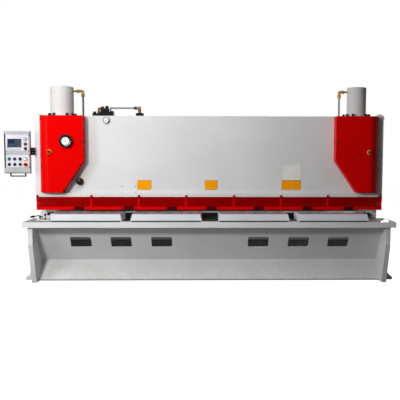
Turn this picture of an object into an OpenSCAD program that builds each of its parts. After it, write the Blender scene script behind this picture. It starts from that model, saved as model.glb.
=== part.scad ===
// Hydraulic guillotine shear with a 4 m cutting length.
// Millimetres, Z up, the operator stands at -Y and faces +Y.
// The origin is at floor level in the middle of the four anchor bolts.
// Inside the modules Y counts from the front face of the table.

/* [Side frames] */
// Width over the outer faces of the two side frames
frame_w = 4526; // [4300:1:4900]
// Thickness of each side frame plate
frame_t = 60; // [40:1:80]
// Height of the side frames
frame_h = 2146; // [2140:1:2260]
// Depth of the side frames' back edge
frame_back = 1650; // [1600:1:1900]
// Depth of the lower jaw's front edge
toe_y = 40; // [10:1:90]
// Height up to which the lower jaw's front edge is upright
toe_z = 505; // [400:1:560]
// Depth of the foot's front edge at the floor
foot_y = 185; // [120:1:260]
// Depth of the upright's front edge
upright_y = 445; // [425:1:465]
// Depth of the throat's back edge
throat_y = 700; // [680:1:800]
// Height of the throat's upper edge
throat_z = 1020; // [990:1:1060]
// Corner radius inside the throat
throat_r = 40; // [15:1:70]
// Height of the arch under each side frame
arch_h = 70; // [30:1:140]
// Radius of the lifting hole
lift_r = 42; // [25:1:60]
// Radius of the upright's front top corner
crown_r = 45; // [10:1:80]
// Radius of the round lug across a side frame's top
lift_lug_r = 66; // [60:1:80]
// Rise of that lug over the side frame's top
lift_rise = 16; // [12:1:32]

/* [Anchors] */
// Reach of a foot lug beyond the side frame
lug_w = 131; // [110:1:200]
// Length of a foot lug
lug_l = 190; // [170:1:260]
// Thickness of a foot lug
lug_t = 34; // [20:1:50]
// Height of the lug's gussets
lug_h = 130; // [100:1:200]
// Radius of an anchor bolt hole
anchor_r = 16; // [10:1:20]
// Distance of the anchor holes from the side frame
anchor_x = 72; // [60:1:90]
// Depth of the front anchor holes
anchor_front = 501; // [470:1:560]
// Distance of the back anchor holes from the side frames' back edge
anchor_back = 211; // [180:1:260]
// Distance from an anchor hole to its levelling screw
level_gap = 84; // [70:1:95]
// Radius of a levelling screw
level_r = 14; // [10:1:16]
// Height of the levelling screw's top
level_h = 94; // [85:1:110]

/* [Table] */
// Height of the working surface above the floor
work_h = 882; // [870:1:890]
// Length of the table bar
bar_l = 4640; // [4540:1:5000]
// Thickness of the table bar
bar_t = 68; // [50:1:80]
// Length of a raised table plate
plate_l = 895; // [700:1:905]
// Thickness of a raised table plate
plate_t = 88; // [80:1:100]
// Depth of the raised plates' front face
plate_y = 100; // [60:1:160]
// Gap between the two plates of one side
plate_gap = 109; // [90:1:150]
// Gap between the two middle plates
middle_gap = 209; // [160:1:240]
// Slope of a raised plate's front and ends
plate_bevel = 20; // [12:1:24]
// Height of the groove under a raised plate's front
plate_groove = 9; // [6:1:14]
// Depth of the cutting line
shear_y = 570; // [565:1:580]
// Height of the blade beam under the table bar
beam_h = 166; // [100:1:200]
// Width of the blade beam's upstand in front of the blade
upstand = 45; // [30:1:50]
// Radius of a blade bolt's head
blade_bolt_r = 17; // [10:1:20]

/* [Apron] */
// Thickness of the apron sheet
apron_t = 12; // [6:1:16]
// Depth of the apron's top edge
apron_top_y = 150; // [110:1:190]
// Depth of the apron's fold
fold_y = 455; // [420:1:480]
// Height of the apron's fold
fold_z = 254; // [230:1:300]
// Depth of the apron's bottom edge
apron_low_y = 290; // [260:1:320]
// Height of the apron's bottom edge
apron_low_z = 34; // [20:1:60]
// Width of an apron window
window_w = 266; // [200:1:290]
// Length of an apron window along the slope
window_h = 172; // [110:1:190]
// Corner radius of an apron window
window_r = 20; // [8:1:40]
// Height of the apron windows' middle
window_z = 507; // [480:1:530]

/* [Blades] */
// Cutting length
blade_l = 4000; // [3700:1:4010]
// Thickness of a blade
blade_t = 25; // [18:1:28]
// Height of a blade
blade_h = 80; // [60:1:84]
// Gap between the blades at the cutting line
blade_gap = 5; // [5:0.5:8]
// Rise of the upper blade from its left to its right end
blade_rise = 84; // [60:1:100]
// Height of the upper blade's low end above the table
blade_open = 25; // [22:1:40]
// Stroke of the ram
ram_stroke = 120; // [110:1:135]

/* [Ram] */
// Thickness of the ram plate
ram_t = 60; // [40:1:70]
// Height of the ram's top
ram_top = 1900; // [1850:1:1930]
// Gap between the ram's ends and the side frames
ram_side = 53; // [40:1:60]
// Running gap in the ram's guides
guide_gap = 6; // [5:0.5:10]
// Depth of the rib plates on the ram's back
rib_d = 50; // [30:1:60]
// Thickness of the rib plates
rib_t = 20; // [12:1:30]

/* [Front panel] */
// Thickness of the front panel
panel_t = 30; // [20:1:34]
// Height of the panel's lower edge
panel_low = 1081; // [1075:1:1090]
// Height of the panel's upper edge
panel_top = 2128; // [2120:1:2136]
// Height of the band along the panel's lower edge
band_h = 50; // [40:1:70]
// How far the band stands out of the panel
band_d = 38; // [30:1:50]
// Distance between the nameplate's holes along X
name_w = 176; // [140:1:200]
// Distance between the nameplate's holes along Z
name_h = 82; // [60:1:100]
// Radius of a nameplate hole
name_r = 4; // [2:0.5:6]

/* [Hold-downs] */
// Distance between two hold-down cylinders
hold_pitch = 260; // [240:1:266]
// Number of hold-down cylinders
hold_n = 16; // [12:1:16]
// Radius of a hold-down cylinder
hold_r = 32; // [26:1:34]
// Radius of a hold-down rod
hold_rod_r = 16; // [10:1:20]
// Radius of a hold-down foot
hold_foot_r = 27; // [22:1:30]
// Height of the hold-down feet above the table
hold_open = 20; // [18:1:22]
// Travel of the hold-down feet
hold_travel = 15; // [8:1:15]

/* [Finger guard] */
// Height of the guard's lower edge above the table
feed_gap = 29; // [26:1:32]
// Thickness of the guard's strips
guard_t = 16; // [10:1:20]
// Height of the guard's lower bar
guard_bar = 43; // [30:1:45]
// Width of an upright guard strip
strip_w = 25; // [18:1:40]
// Length of the guard
guard_l = 4490; // [4400:1:4510]
// Number of slats in the guard
slat_n = 5; // [3:1:6]
// Height of one slat
slat_h = 23; // [18:1:24]

/* [End covers] */
// How far a cover stands out of the panel
cover_d = 140; // [100:1:150]
// Distance of a cover's inner edge from the middle
cover_in = 1615; // [1580:1:1640]
// Distance of a cover's outer edge from the middle
cover_out = 2195; // [2150:1:2198]
// Radius of the large outer bend
cover_r = 156; // [151:1:200]
// Height of a cover's lower edge
cover_low = 1142; // [1135:1:1180]
// Height at which the slanting edge starts
cover_slant = 1550; // [1450:1:1600]
// Width of the slanting edge
cover_cut = 277; // [200:1:320]
// Sheet thickness of the covers
sheet_t = 3; // [2:0.5:5]

/* [Cylinders] */
// Distance of the cylinder axes from the middle
cyl_x = 1956; // [1940:1:1980]
// Radius of the left cylinder
cyl_left_r = 152; // [130:1:153]
// Radius of the right cylinder
cyl_right_r = 126.5; // [110:0.5:135]
// Height of the cylinders' top
cyl_top = 2520; // [2480:1:2700]
// Height of the cylinders' head caps
cap_h = 82; // [60:1:120]
// Radius of the cylinders' flanges
flange_r = 190; // [188:1:196]
// Thickness of a cylinder flange
flange_t = 30; // [20:1:36]
// Radius of the left piston rod
rod_left_r = 70; // [50:1:75]
// Radius of the right piston rod
rod_right_r = 60; // [45:1:65]
// Thickness of the plates that carry the cylinders
seat_t = 60; // [40:1:80]

/* [Hydraulics] */
// Outer radius of the cylinder pipes
pipe_r = 13; // [8:1:15]
// Bend radius of the cylinder pipes
pipe_bend = 40; // [36:1:44]
// Distance of the left pipe from the middle
pipe_left_x = 1680; // [1665:1:1700]
// Distance of the right pipe from the middle
pipe_right_x = 1722; // [1705:1:1735]
// Height of the cylinders' ports
port_z = 2463; // [2455:1:2470]
// Length of the oil tank
tank_l = 900; // [750:1:1000]
// Depth of the oil tank
tank_d = 400; // [380:1:440]
// Height of the oil tank
tank_h = 400; // [300:1:420]
// Height of the tank's lid
tank_top = 2040; // [2036:1:2046]
// Length of the valve manifold
valve_l = 276; // [220:1:290]
// Radius of the pump motor
motor_r = 125; // [100:1:140]

/* [Back gauge] */
// Reach of the back gauge's arms behind the ram
gauge_reach = 820; // [600:1:840]
// Distance of the arms from the middle
gauge_x = 1400; // [1200:1:1500]
// Distance of the gauge bar behind the cutting line
gauge_y = 500; // [200:1:600]
// Length of the gauge bar
gauge_l = 3400; // [3100:1:3700]

/* [Controls] */
// Distance of the handwheel from the middle
wheel_x = 1830; // [1790:1:1860]
// Height of the handwheel's axis
wheel_z = 1798; // [1760:1:1860]
// Radius over the handwheel's rim
wheel_r = 83; // [70:1:110]
// Radius of the handwheel's shaft
shaft_r = 10; // [7:1:12]
// Distance of the left emergency stop from the middle
stop_x = 2045; // [2000:1:2060]
// Height of the emergency stops
stop_z = 1662; // [1620:1:1700]
// Distance of the blade gap knob from the middle
knob_x = 1691; // [1600:1:1700]
// Height of the blade gap knob
knob_z = 1281; // [1260:1:1320]
// Radius of the blade gap knob
knob_r = 40; // [30:1:46]
// Distance of the pressure gauge from the middle
gauge_dial_x = 1341; // [1280:1:1400]
// Height of the pressure gauge
gauge_dial_z = 2071; // [2040:1:2080]
// Radius of the pressure gauge
gauge_dial_r = 41; // [30:1:45]

/* [Pendant] */
// Width of the pendant control box
box_w = 327; // [300:1:400]
// Depth of the pendant control box
box_d = 68; // [62:1:72]
// Height of the box's top
box_top = 1924; // [1900:1:1960]
// Height of the box's bottom
box_low = 1383; // [1360:1:1395]
// Radius of the box's front edges
box_r = 30; // [20:1:32]
// Radius of the pendant's hinge pin
hinge_r = 7; // [5:0.5:9]
// Height of the pendant's hinge
hinge_h = 98; // [80:1:140]
// Drop of the pendant's handle under the box
handle_drop = 41; // [36:1:60]

/* [Hidden] */
$fn = 48;
white = [0.86, 0.87, 0.87];
red = [0.84, 0.02, 0.02];
black = [0.06, 0.06, 0.07];
steel = [0.62, 0.63, 0.64];
brass = [0.75, 0.58, 0.25];
yellow = [0.93, 0.75, 0.1];
rear_anchor = frame_back - anchor_back;
front_to_origin = (anchor_front + rear_anchor) / 2;
outer_x = frame_w / 2;
inner_x = outer_x - frame_t;
lug_x = outer_x + anchor_x;
lift_top = frame_h + lift_rise;
jaw_z = work_h - plate_t - bar_t;
plate_z = work_h - plate_t;
plate_back = shear_y - blade_t - upstand;
panel_y = upright_y + 5;
panel_back = panel_y + panel_t;
band_y = panel_y - band_d;
cover_y = panel_y - cover_d;
upper_blade_y = shear_y + blade_gap;
ram_y = upper_blade_y + blade_t;
ram_back = ram_y + ram_t;
ram_end = inner_x - ram_side;
cyl_y = panel_back + flange_r + 4;
blade_low = work_h + blade_open;
seat_z = panel_top - flange_t - seat_t;
guard_z = work_h + feed_gap;
rod_fit = 0.06;
pump_block = 148;
thread_gap = 0.3;
plate_x = [936, 1191];
plate_step = 1300;
pipe_run_z = tank_top + 70;
pipe_run_y = ram_back + 160;
pump_y = pipe_run_y + 58;
pump_x = 957;
tank_x = pipe_left_x - 78;
tank_y = ram_back + 100;
valve_x = tank_x - 20;
tie_z = tank_top - tank_h;
hinge_x = outer_x + 4;
hinge_y = upright_y - 46;
hinge_z = box_top - 306;
knuckle = hinge_h * 0.3;
knuckle_r = hinge_r + 10;
box_right = hinge_x + 35;
box_y = hinge_y + 11 - box_d;
box_left = box_right + box_w;
box_mid_x = box_right + box_w / 2;
upper_sheet = [box_top - 249, box_top - 43];
lower_sheet = [box_low + 80, box_low + 241];

// Moves a piece from the table front's depth count to the origin's
module placed() {
    translate([0, -front_to_origin, 0]) children();
}

// Extrudes a depth and height outline along X between two places
module along_x(x0, x1) {
    translate([x0, 0, 0]) rotate([90, 0, 90]) linear_extrude(x1 - x0) children();
}

// Extrudes a width and height outline along Y between two places
module along_y(y0, y1) {
    translate([0, y1, 0]) rotate([90, 0, 0]) linear_extrude(y1 - y0) children();
}

// A box between two corners
module block(x0, x1, y0, y1, z0, z1) {
    translate([x0, y0, z0]) cube([x1 - x0, y1 - y0, z1 - z0]);
}

// A round bar along Y that starts at the given point
module bar_y(x, y, z, r, l) {
    translate([x, y, z]) rotate([-90, 0, 0]) cylinder(h = l, r = r);
}

// A round bar along X that starts at the given point
module bar_x(x, y, z, r, l) {
    translate([x, y, z]) rotate([0, 90, 0]) cylinder(h = l, r = r);
}

// A round bar along Z that starts at the given point
module bar_z(x, y, z, r, l) {
    translate([x, y, z]) cylinder(h = l, r = r);
}

// Repeats a piece on the left and the right side
module both_sides() {
    children();
    mirror([1, 0, 0]) children();
}

// Outline of a side frame: foot, slanted toe, open throat and upright
module frame_outline() {
    arch_y = foot_y + 330;
    arch_l = frame_back - arch_y - 330;
    difference() {
        union() {
            polygon([[foot_y, 0], [toe_y, toe_z], [toe_y, jaw_z], [upright_y, jaw_z],
                [upright_y, frame_h - crown_r], [upright_y + crown_r, frame_h],
                [frame_back - 350, frame_h], [frame_back, frame_h - 700], [frame_back, 0]]);
            translate([upright_y + crown_r, frame_h - crown_r]) circle(crown_r);
        }
        translate([upright_y - 1, jaw_z]) square([throat_y - throat_r - upright_y + 1, throat_z - jaw_z]);
        translate([throat_y - throat_r - 1, jaw_z + throat_r])
            square([throat_r + 1, throat_z - jaw_z - 2 * throat_r]);
        for (z = [jaw_z + throat_r, throat_z - throat_r])
            translate([throat_y - throat_r, z]) circle(throat_r);
        translate([arch_y, -1]) square([arch_l, arch_h + 1]);
        translate([throat_y + 260, frame_h - 130]) circle(lift_r);
        translate([toe_y + 69, toe_z + 38]) circle(10);
    }
}

// A foot lug with its anchor hole, levelling hole and two gussets; dir points from the hole to the screw
module lug(y, dir) {
    y_low = y - lug_l / 2 + dir * level_gap / 2;
    difference() {
        union() {
            block(outer_x, outer_x + lug_w, y_low, y_low + lug_l, 0, lug_t);
            for (g = [y_low, y_low + lug_l - 14])
                translate([outer_x, g + 14, 0]) rotate([90, 0, 0]) linear_extrude(14)
                    polygon([[0, lug_t], [lug_w - 10, lug_t], [30, lug_h], [0, lug_h]]);
        }
        bar_z(lug_x, y, -1, anchor_r, lug_t + 2);
        bar_z(lug_x, y + dir * level_gap, -1, level_r + thread_gap, lug_t + 2);
    }
}

// Half round lug across the side frame's top, for a sling
module lifting_lug() {
    y = upright_y + 85;
    low = frame_h - 46;
    intersection() {
        bar_y(outer_x - frame_t / 2, y, lift_top - lift_lug_r, lift_lug_r, 60);
        block(inner_x - lift_lug_r, outer_x + lift_lug_r, y, y + 60, low, lift_top);
    }
}

// One side frame with its foot lugs and lifting lug, for the right side
module side_frame() {
    along_x(inner_x, outer_x) frame_outline();
    lug(anchor_front, -1);
    lug(rear_anchor, 1);
    lifting_lug();
}

module left_side_frame() {
    placed() color(white) mirror([1, 0, 0]) side_frame();
}

module right_side_frame() {
    placed() color(white) side_frame();
}

// Screws with a nut, that stand on the floor and lift the lugs
module levelling_screws() {
    placed() color(steel) both_sides()
        for (y = [anchor_front - level_gap, rear_anchor + level_gap])
            translate([lug_x, y, 0]) {
                cylinder(h = level_h, r = level_r);
                translate([0, 0, lug_t]) cylinder(h = 20, r = level_r * 1.7, $fn = 6);
            }
}

// Table bar over the lower jaws, and behind and under it the beam with the lower blade's ledge
module table_bed() {
    beam_y = plate_back - 60;
    ledge_z = work_h - blade_h;
    joint = 0.3;
    rim_z = work_h - 14;
    placed() color(white) {
        block(-bar_l / 2, bar_l / 2, 0, plate_back, jaw_z, plate_z);
        along_x(-inner_x, inner_x) polygon([[beam_y, jaw_z - beam_h], [shear_y, jaw_z - beam_h],
            [shear_y, ledge_z], [shear_y - blade_t, ledge_z], [shear_y - blade_t, rim_z],
            [plate_back + joint, rim_z], [plate_back + joint, jaw_z - joint], [beam_y, jaw_z - joint]]);
    }
}

// Cut for a window that stands square to the apron's upper sheet
module apron_window(x) {
    slope = atan2(fold_y - apron_top_y, jaw_z - fold_z);
    mid_y = apron_top_y + (jaw_z - window_z) * tan(slope);
    translate([x, mid_y, window_z]) rotate([90 + slope, 0, 0])
        translate([0, 0, -3 * apron_t]) linear_extrude(6 * apron_t) {
            square([window_w - 2 * window_r, window_h], center = true);
            square([window_w, window_h - 2 * window_r], center = true);
            for (sx = [-1, 1], sy = [-1, 1])
                translate([sx * (window_w / 2 - window_r), sy * (window_h / 2 - window_r)]) circle(window_r);
        }
}

// Folded sheet between the side frames, with six windows and a lip along the bottom
module apron() {
    lip = 22;
    placed() color([0.6, 0.6, 0.6]) difference() {
        along_x(-inner_x, inner_x) polygon([[apron_top_y, jaw_z], [fold_y, fold_z],
            [apron_low_y, apron_low_z], [apron_low_y - lip, apron_low_z], [apron_low_y - lip, apron_low_z - apron_t],
            [apron_low_y + apron_t, apron_low_z - apron_t], [fold_y + apron_t, fold_z],
            [apron_top_y + apron_t * 1.2, jaw_z]]);
        for (x = [622, 1142, 1657])
            for (s = [-1, 1])
                apron_window(s * x);
    }
}

// Raised plate with a sloping front and ends and a groove under its front, from a place along X
module table_plate(x0) {
    slope_y = plate_y + plate_bevel;
    groove_z = plate_z + plate_groove;
    x1 = x0 + plate_l;
    placed() color(white) intersection() {
        along_x(x0, x1) polygon([[slope_y, plate_z], [slope_y, groove_z], [plate_y, groove_z],
            [slope_y, work_h], [plate_back, work_h], [plate_back, plate_z]]);
        along_y(plate_y - 1, plate_back + 1) polygon([[x0, plate_z], [x0 + plate_bevel, work_h],
            [x1 - plate_bevel, work_h], [x1, plate_z]]);
    }
}

module table_plate_1() {
    table_plate(-middle_gap / 2 - 2 * plate_l - plate_gap);
}

module table_plate_2() {
    table_plate(-middle_gap / 2 - plate_l);
}

module table_plate_3() {
    table_plate(middle_gap / 2);
}

module table_plate_4() {
    table_plate(middle_gap / 2 + plate_l + plate_gap);
}

// Blade bolts' heads in the gaps between the raised plates
module table_bolts() {
    side = middle_gap / 2 + plate_l + plate_gap / 2;
    pitch = 50;
    placed() color(black) for (x = [-side, side, -pitch, pitch], s = [-1, 1])
        bar_y(x + s * pitch / 2, plate_back - 16, work_h - 36, blade_bolt_r, 16);
}

module lower_blade() {
    placed() color(steel)
        block(-blade_l / 2, blade_l / 2, shear_y - blade_t, shear_y, work_h - blade_h, work_h);
}

// White panel with its thick lower band, and the shelf that carries the hold-downs
module front_panel() {
    shelf = 70;
    name_x = -1058;
    name_z = 1174;
    placed() color(white) difference() {
        union() {
            block(-inner_x, inner_x, panel_y, panel_back, panel_low, panel_top);
            block(-inner_x, inner_x, band_y, panel_back + shelf, panel_low, panel_low + panel_t);
            block(-inner_x, inner_x, band_y, panel_y + 1, panel_low, panel_low + band_h);
        }
        for (sx = [-1, 1], sz = [-1, 1])
            bar_y(name_x + sx * name_w / 2, panel_y - 1, name_z + sz * name_h / 2, name_r, panel_t + 2);
        bar_y(-knob_x, panel_y - 1, knob_z, shaft_r + rod_fit, panel_t + 2);
    }
}

// Red guard: upright strips, slats and a lower bar that is open at each hold-down window
module finger_guard() {
    strips = [311, 925, 1537, guard_l / 2 - strip_w / 2];
    gaps = [-1693, -1056, -493, 22, 638, 1278, 1818];
    gap_w = 130;
    slat_low = guard_z + guard_bar;
    slat_pitch = (panel_low - slat_low) / slat_n;
    y0 = band_y - guard_t;
    placed() color(red) {
        both_sides() for (x = strips)
            block(x - strip_w / 2, x + strip_w / 2, y0, band_y, guard_z, panel_low + 26);
        difference() {
            block(-guard_l / 2, guard_l / 2, y0 + 2, band_y, guard_z, guard_z + guard_bar);
            for (x = gaps)
                block(x - gap_w / 2, x + gap_w / 2, y0 - 1, band_y + 1, guard_z - 1, guard_z + guard_bar - 12);
        }
        for (i = [0 : slat_n - 1])
            along_x(-guard_l / 2, guard_l / 2)
                translate([y0 + 1, slat_low + 1 + i * slat_pitch])
                    polygon([[11, 0], [14, 0], [4, slat_h], [1, slat_h]]);
    }
}

// Places a piece at each hold-down
module at_hold_downs() {
    for (i = [0 : hold_n - 1])
        translate([(i - (hold_n - 1) / 2) * hold_pitch, panel_back + hold_r, 0]) children();
}

module hold_down_cylinders() {
    low = work_h + 73;
    placed() color([0.25, 0.25, 0.26]) at_hold_downs() difference() {
        bar_z(0, 0, low, hold_r, panel_low - low);
        bar_z(0, 0, low - 1, hold_rod_r + rod_fit, panel_low - low - 14);
    }
}

module hold_down_feet() {
    foot_z = work_h + hold_open;
    rod_top = panel_low - 34;
    placed() color(black) at_hold_downs() {
        bar_z(0, 0, foot_z, hold_foot_r, 16);
        bar_z(0, 0, foot_z + 16, hold_rod_r, rod_top - foot_z - 16);
    }
}

// Width and depth outline of an end cover, smaller by w all round for its hollow
module cover_plan(w) {
    bend_x = cover_out - sqrt(cover_r * cover_r - (cover_r - cover_d) * (cover_r - cover_d));
    translate([cover_in + w, cover_y + w]) square([bend_x - cover_in - w, cover_d]);
    intersection() {
        translate([bend_x, cover_y + cover_r]) circle(cover_r - w, $fn = 96);
        translate([bend_x, cover_y + w]) square([cover_r, cover_d]);
    }
}

// Width and height outline of an end cover, smaller by w all round for its hollow
module cover_front(w) {
    run = cover_slant - cover_low;
    len = sqrt(cover_cut * cover_cut + run * run);
    shift_z = w * (len - run) / cover_cut;
    shift_x = w * (len - cover_cut) / run;
    polygon([[cover_in + w, panel_top - 3 - w], [cover_in + w, cover_slant + shift_z],
        [cover_in + cover_cut + shift_x, cover_low + w], [cover_out, cover_low + w],
        [cover_out, panel_top - 3 - w]]);
}

// Shell of bent sheet, closed at the top and the bottom, for the right side
module cover_shell() {
    difference() {
        intersection() {
            linear_extrude(panel_top) intersection() {
                cover_plan(0);
                translate([0, 0]) square([outer_x, panel_y]);
            }
            along_y(0, panel_y) cover_front(0);
        }
        intersection() {
            linear_extrude(panel_top) cover_plan(sheet_t);
            along_y(0, panel_y + cover_d) cover_front(sheet_t);
        }
    }
}

module left_cover() {
    placed() color(red) difference() {
        mirror([1, 0, 0]) cover_shell();
        bar_y(-wheel_x, cover_y - 1, wheel_z, shaft_r + 6, 10);
    }
}

module right_cover() {
    placed() color(red) cover_shell();
}

// Thick plates between the panel and the side frames, that carry the cylinders
module cylinder_seats() {
    seat_in = pipe_right_x + pipe_r + 8;
    seat_back = cyl_y + flange_r + 20;
    placed() color(white) both_sides() difference() {
        block(seat_in, inner_x, panel_back, seat_back, seat_z, seat_z + seat_t);
        bar_z(cyl_x, cyl_y, seat_z - 1, rod_left_r + 5, seat_t + 2);
    }
}

// Cylinder with a blind bore for its rod, a bolted flange, a cap joint and a chamfered top
module ram_cylinder(x, r, rod_r, cham) {
    z0 = seat_z + seat_t;
    groove = 3;
    bolt_r = 18;
    bolt_h = 40;
    bolt_ring = flange_r - bolt_r - 1;
    bare_spot = 273;
    cap_z = cyl_top - cap_h;
    placed() color([0.7, 0.7, 0.7]) translate([x, cyl_y, 0]) {
        difference() {
            rotate_extrude($fn = 96) polygon([[0, z0], [flange_r, z0], [flange_r, z0 + flange_t],
                [r, z0 + flange_t], [r, cap_z - groove], [r - groove, cap_z - groove], [r - groove, cap_z],
                [r, cap_z], [r, cyl_top - cham * 0.8], [r - cham, cyl_top], [0, cyl_top]]);
            translate([0, 0, z0 - 1]) cylinder(h = cap_z - z0 - 60, r = rod_r + rod_fit);
        }
        for (a = [3 : 30 : 333])
            if (a != bare_spot)
                rotate([0, 0, a]) translate([bolt_ring, 0, z0 + flange_t]) cylinder(h = bolt_h, r = bolt_r);
    }
}

module left_cylinder() {
    ram_cylinder(-cyl_x, cyl_left_r, rod_left_r, 13);
}

module right_cylinder() {
    ram_cylinder(cyl_x, cyl_right_r, rod_right_r, 5);
}

module piston_rods() {
    rod_top = cyl_top - cap_h - 100;
    placed() color(steel) {
        bar_z(-cyl_x, cyl_y, ram_top, rod_left_r, rod_top - ram_top);
        bar_z(cyl_x, cyl_y, ram_top, rod_right_r, rod_top - ram_top);
    }
}

// Slanted lower edge's height at a place along X, above the upper blade
function blade_edge(x) = blade_low + blade_rise * (x + blade_l / 2) / blade_l;

// Ram plate with a slanted lower edge, a top flange and ribs on its back
module ram() {
    flange_h = 40;
    flange_in = 50;
    low_l = blade_edge(-ram_end) + blade_h - 60;
    low_r = blade_edge(ram_end) + blade_h - 60;
    ribs = 9;
    rib_pitch = (ram_end - 120) * 2 / (ribs - 1);
    placed() color(white) {
        along_y(ram_y, ram_back) polygon([[-ram_end, low_l], [ram_end, low_r],
            [ram_end, ram_top - flange_h], [-ram_end, ram_top - flange_h]]);
        block(-ram_end + flange_in, ram_end - flange_in, ram_y, cyl_y + rod_left_r + 2,
            ram_top - flange_h, ram_top);
        for (i = [0 : ribs - 1])
            translate([(i - (ribs - 1) / 2) * rib_pitch, 0, 0])
                block(-rib_t / 2, rib_t / 2, ram_back, ram_back + rib_d, low_r + 80, ram_top - flange_h);
    }
}

// Upper blade on the ram's front face, raked along its length
module upper_blade() {
    half = blade_l / 2 + 10;
    placed() color(steel) along_y(upper_blade_y, upper_blade_y + blade_t) polygon([
        [-half, blade_edge(-half)], [half, blade_edge(half)],
        [half, blade_edge(half) + blade_h], [-half, blade_edge(-half) + blade_h]]);
}

// Guide bars on the side frames, before and behind the ram's ends
module ram_guides() {
    guide_w = ram_side + 20;
    guide_t = 32;
    low = 1250;
    top = 1850;
    placed() color(steel) both_sides() {
        block(inner_x - guide_w, inner_x, ram_y - guide_gap - guide_t, ram_y - guide_gap, low, top);
        block(inner_x - guide_w, inner_x, ram_back + guide_gap, ram_back + guide_gap + guide_t, low, top);
    }
}

// Back gauge carried by the ram: two arms with screws, carriages and the stop bar
module back_gauge() {
    arm_w = 60;
    arm_z = 1130;
    arm_h = 90;
    bar_y0 = shear_y + gauge_y;
    screw_r = 14;
    screw_z = arm_z - 24;
    placed() color(steel) {
        both_sides() {
            block(gauge_x, gauge_x + arm_w, ram_back, ram_back + gauge_reach, arm_z, arm_z + arm_h);
            block(gauge_x - 10, gauge_x + arm_w + 10, ram_back, ram_back + 20, arm_z - 60, arm_z + arm_h + 60);
            block(gauge_x, gauge_x + arm_w, ram_back + gauge_reach - 20, ram_back + gauge_reach,
                arm_z - 50, arm_z + 1);
            bar_y(gauge_x + arm_w / 2, ram_back + 20, screw_z, screw_r, gauge_reach - 40);
            block(gauge_x - 6, gauge_x + arm_w + 6, bar_y0, bar_y0 + 110, arm_z - 60, arm_z);
        }
        block(-gauge_l / 2, gauge_l / 2, bar_y0, bar_y0 + 30, work_h - 8, arm_z - 60);
    }
}

// Pipe bend in the plane of its two legs, with both ends at the origin's far sides
module quarter_bend() {
    rotate_extrude(angle = 90) translate([pipe_bend, 0]) circle(pipe_r);
}

// Pipe for the right side: down beside the cylinder, back, and across to the manifold
module cylinder_pipe(x, cross) {
    top = port_z - 72;
    translate([x, cyl_y, 0]) {
        bar_z(0, 0, pipe_run_z + pipe_bend, pipe_r, top - pipe_run_z - pipe_bend);
        translate([0, pipe_bend, pipe_run_z + pipe_bend]) rotate([0, -90, 0]) rotate([0, 0, 180]) quarter_bend();
        bar_y(0, pipe_bend, pipe_run_z, pipe_r, pipe_run_y - cyl_y - 2 * pipe_bend);
        translate([-pipe_bend, pipe_run_y - cyl_y - pipe_bend, pipe_run_z]) quarter_bend();
        bar_x(-pipe_bend - cross, pipe_run_y - cyl_y, pipe_run_z, pipe_r, cross);
    }
}

module left_pipe() {
    cross = pipe_left_x - pipe_bend - valve_x;
    placed() color(steel) mirror([1, 0, 0]) cylinder_pipe(pipe_left_x, cross);
}

module right_pipe() {
    cross = pipe_right_x - pipe_bend + valve_x - valve_l;
    placed() color(steel) cylinder_pipe(pipe_right_x, cross);
}

// Brass fitting from a barrel's side to the pipe: neck, nut, elbow and pipe nut, for the right side
module port_fitting(barrel_x, x) {
    nut_l = 38;
    nut_x = barrel_x - 78;
    bar_x(nut_x, cyl_y, port_z, 14, barrel_x - nut_x);
    bar_x(nut_x, cyl_y, port_z, 24, nut_l, $fn = 6);
    bar_x(x - 19, cyl_y, port_z, 19, nut_x - x + 20);
    bar_z(x, cyl_y, port_z - 46, 17, 60);
    translate([x, cyl_y, port_z - 72]) cylinder(h = 32, r = 27, $fn = 6);
}

// Brass fittings at the two cylinder ports
module pipe_fittings() {
    placed() color(brass) {
        mirror([1, 0, 0]) port_fitting(cyl_x - cyl_left_r, pipe_left_x);
        port_fitting(cyl_x - cyl_right_r, pipe_right_x);
    }
}

// Black valve block on the tank's lid: a low and a high block, two solenoids and a small knob
module valve_manifold() {
    y0 = pipe_run_y - 30;
    y_mid = y0 + 60;
    low_h = 142;
    high_h = 167;
    placed() color(black) translate([-valve_x, 0, tank_top]) {
        block(0, valve_l, y0, y0 + 130, 0, low_h);
        block(100, valve_l, y0 + 10, y0 + 120, low_h, high_h);
        for (p = [[130, 237], [188, 245]]) {
            bar_z(p[0], y_mid, high_h, 32, 40);
            bar_z(p[0], y_mid, high_h + 40, 21, p[1] - high_h - 40);
        }
        bar_z(21, y_mid, low_h, 21, 27);
    }
}

// Steel pipe from the manifold to the pump's outlet, with its elbow
module pump_pipe() {
    z = tank_top + 219;
    x0 = -valve_x + 232;
    r = 11;
    high = 167;
    elbow_r = 20;
    placed() color(steel) {
        bar_z(x0, pump_y, tank_top + high, r, z - tank_top - high + r);
        bar_x(x0, pump_y, z, r, -pump_x - x0);
        bar_z(-pump_x, pump_y, tank_top + pump_block, elbow_r, z - tank_top - pump_block + elbow_r);
        bar_x(-pump_x - 50, pump_y, z, 17, 50);
    }
}

// Oil tank with a lid flange, a cleaning hatch and the pump's outlet block
module oil_tank() {
    lid = 12;
    x0 = -tank_x;
    x1 = -tank_x + tank_l;
    placed() color(white) {
        block(x0, x1, tank_y, tank_y + tank_d, tie_z, tank_top - lid);
        block(x0 - 15, x1 + 15, tank_y - 15, tank_y + tank_d + 15, tank_top - lid, tank_top);
        bar_y((x0 + x1) / 2, tank_y + tank_d, tie_z + tank_h / 2, 130, 14);
        block(-pump_x - 42, -pump_x + 48, pump_y - 45, pump_y + 45, tank_top, tank_top + pump_block);
    }
}

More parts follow.
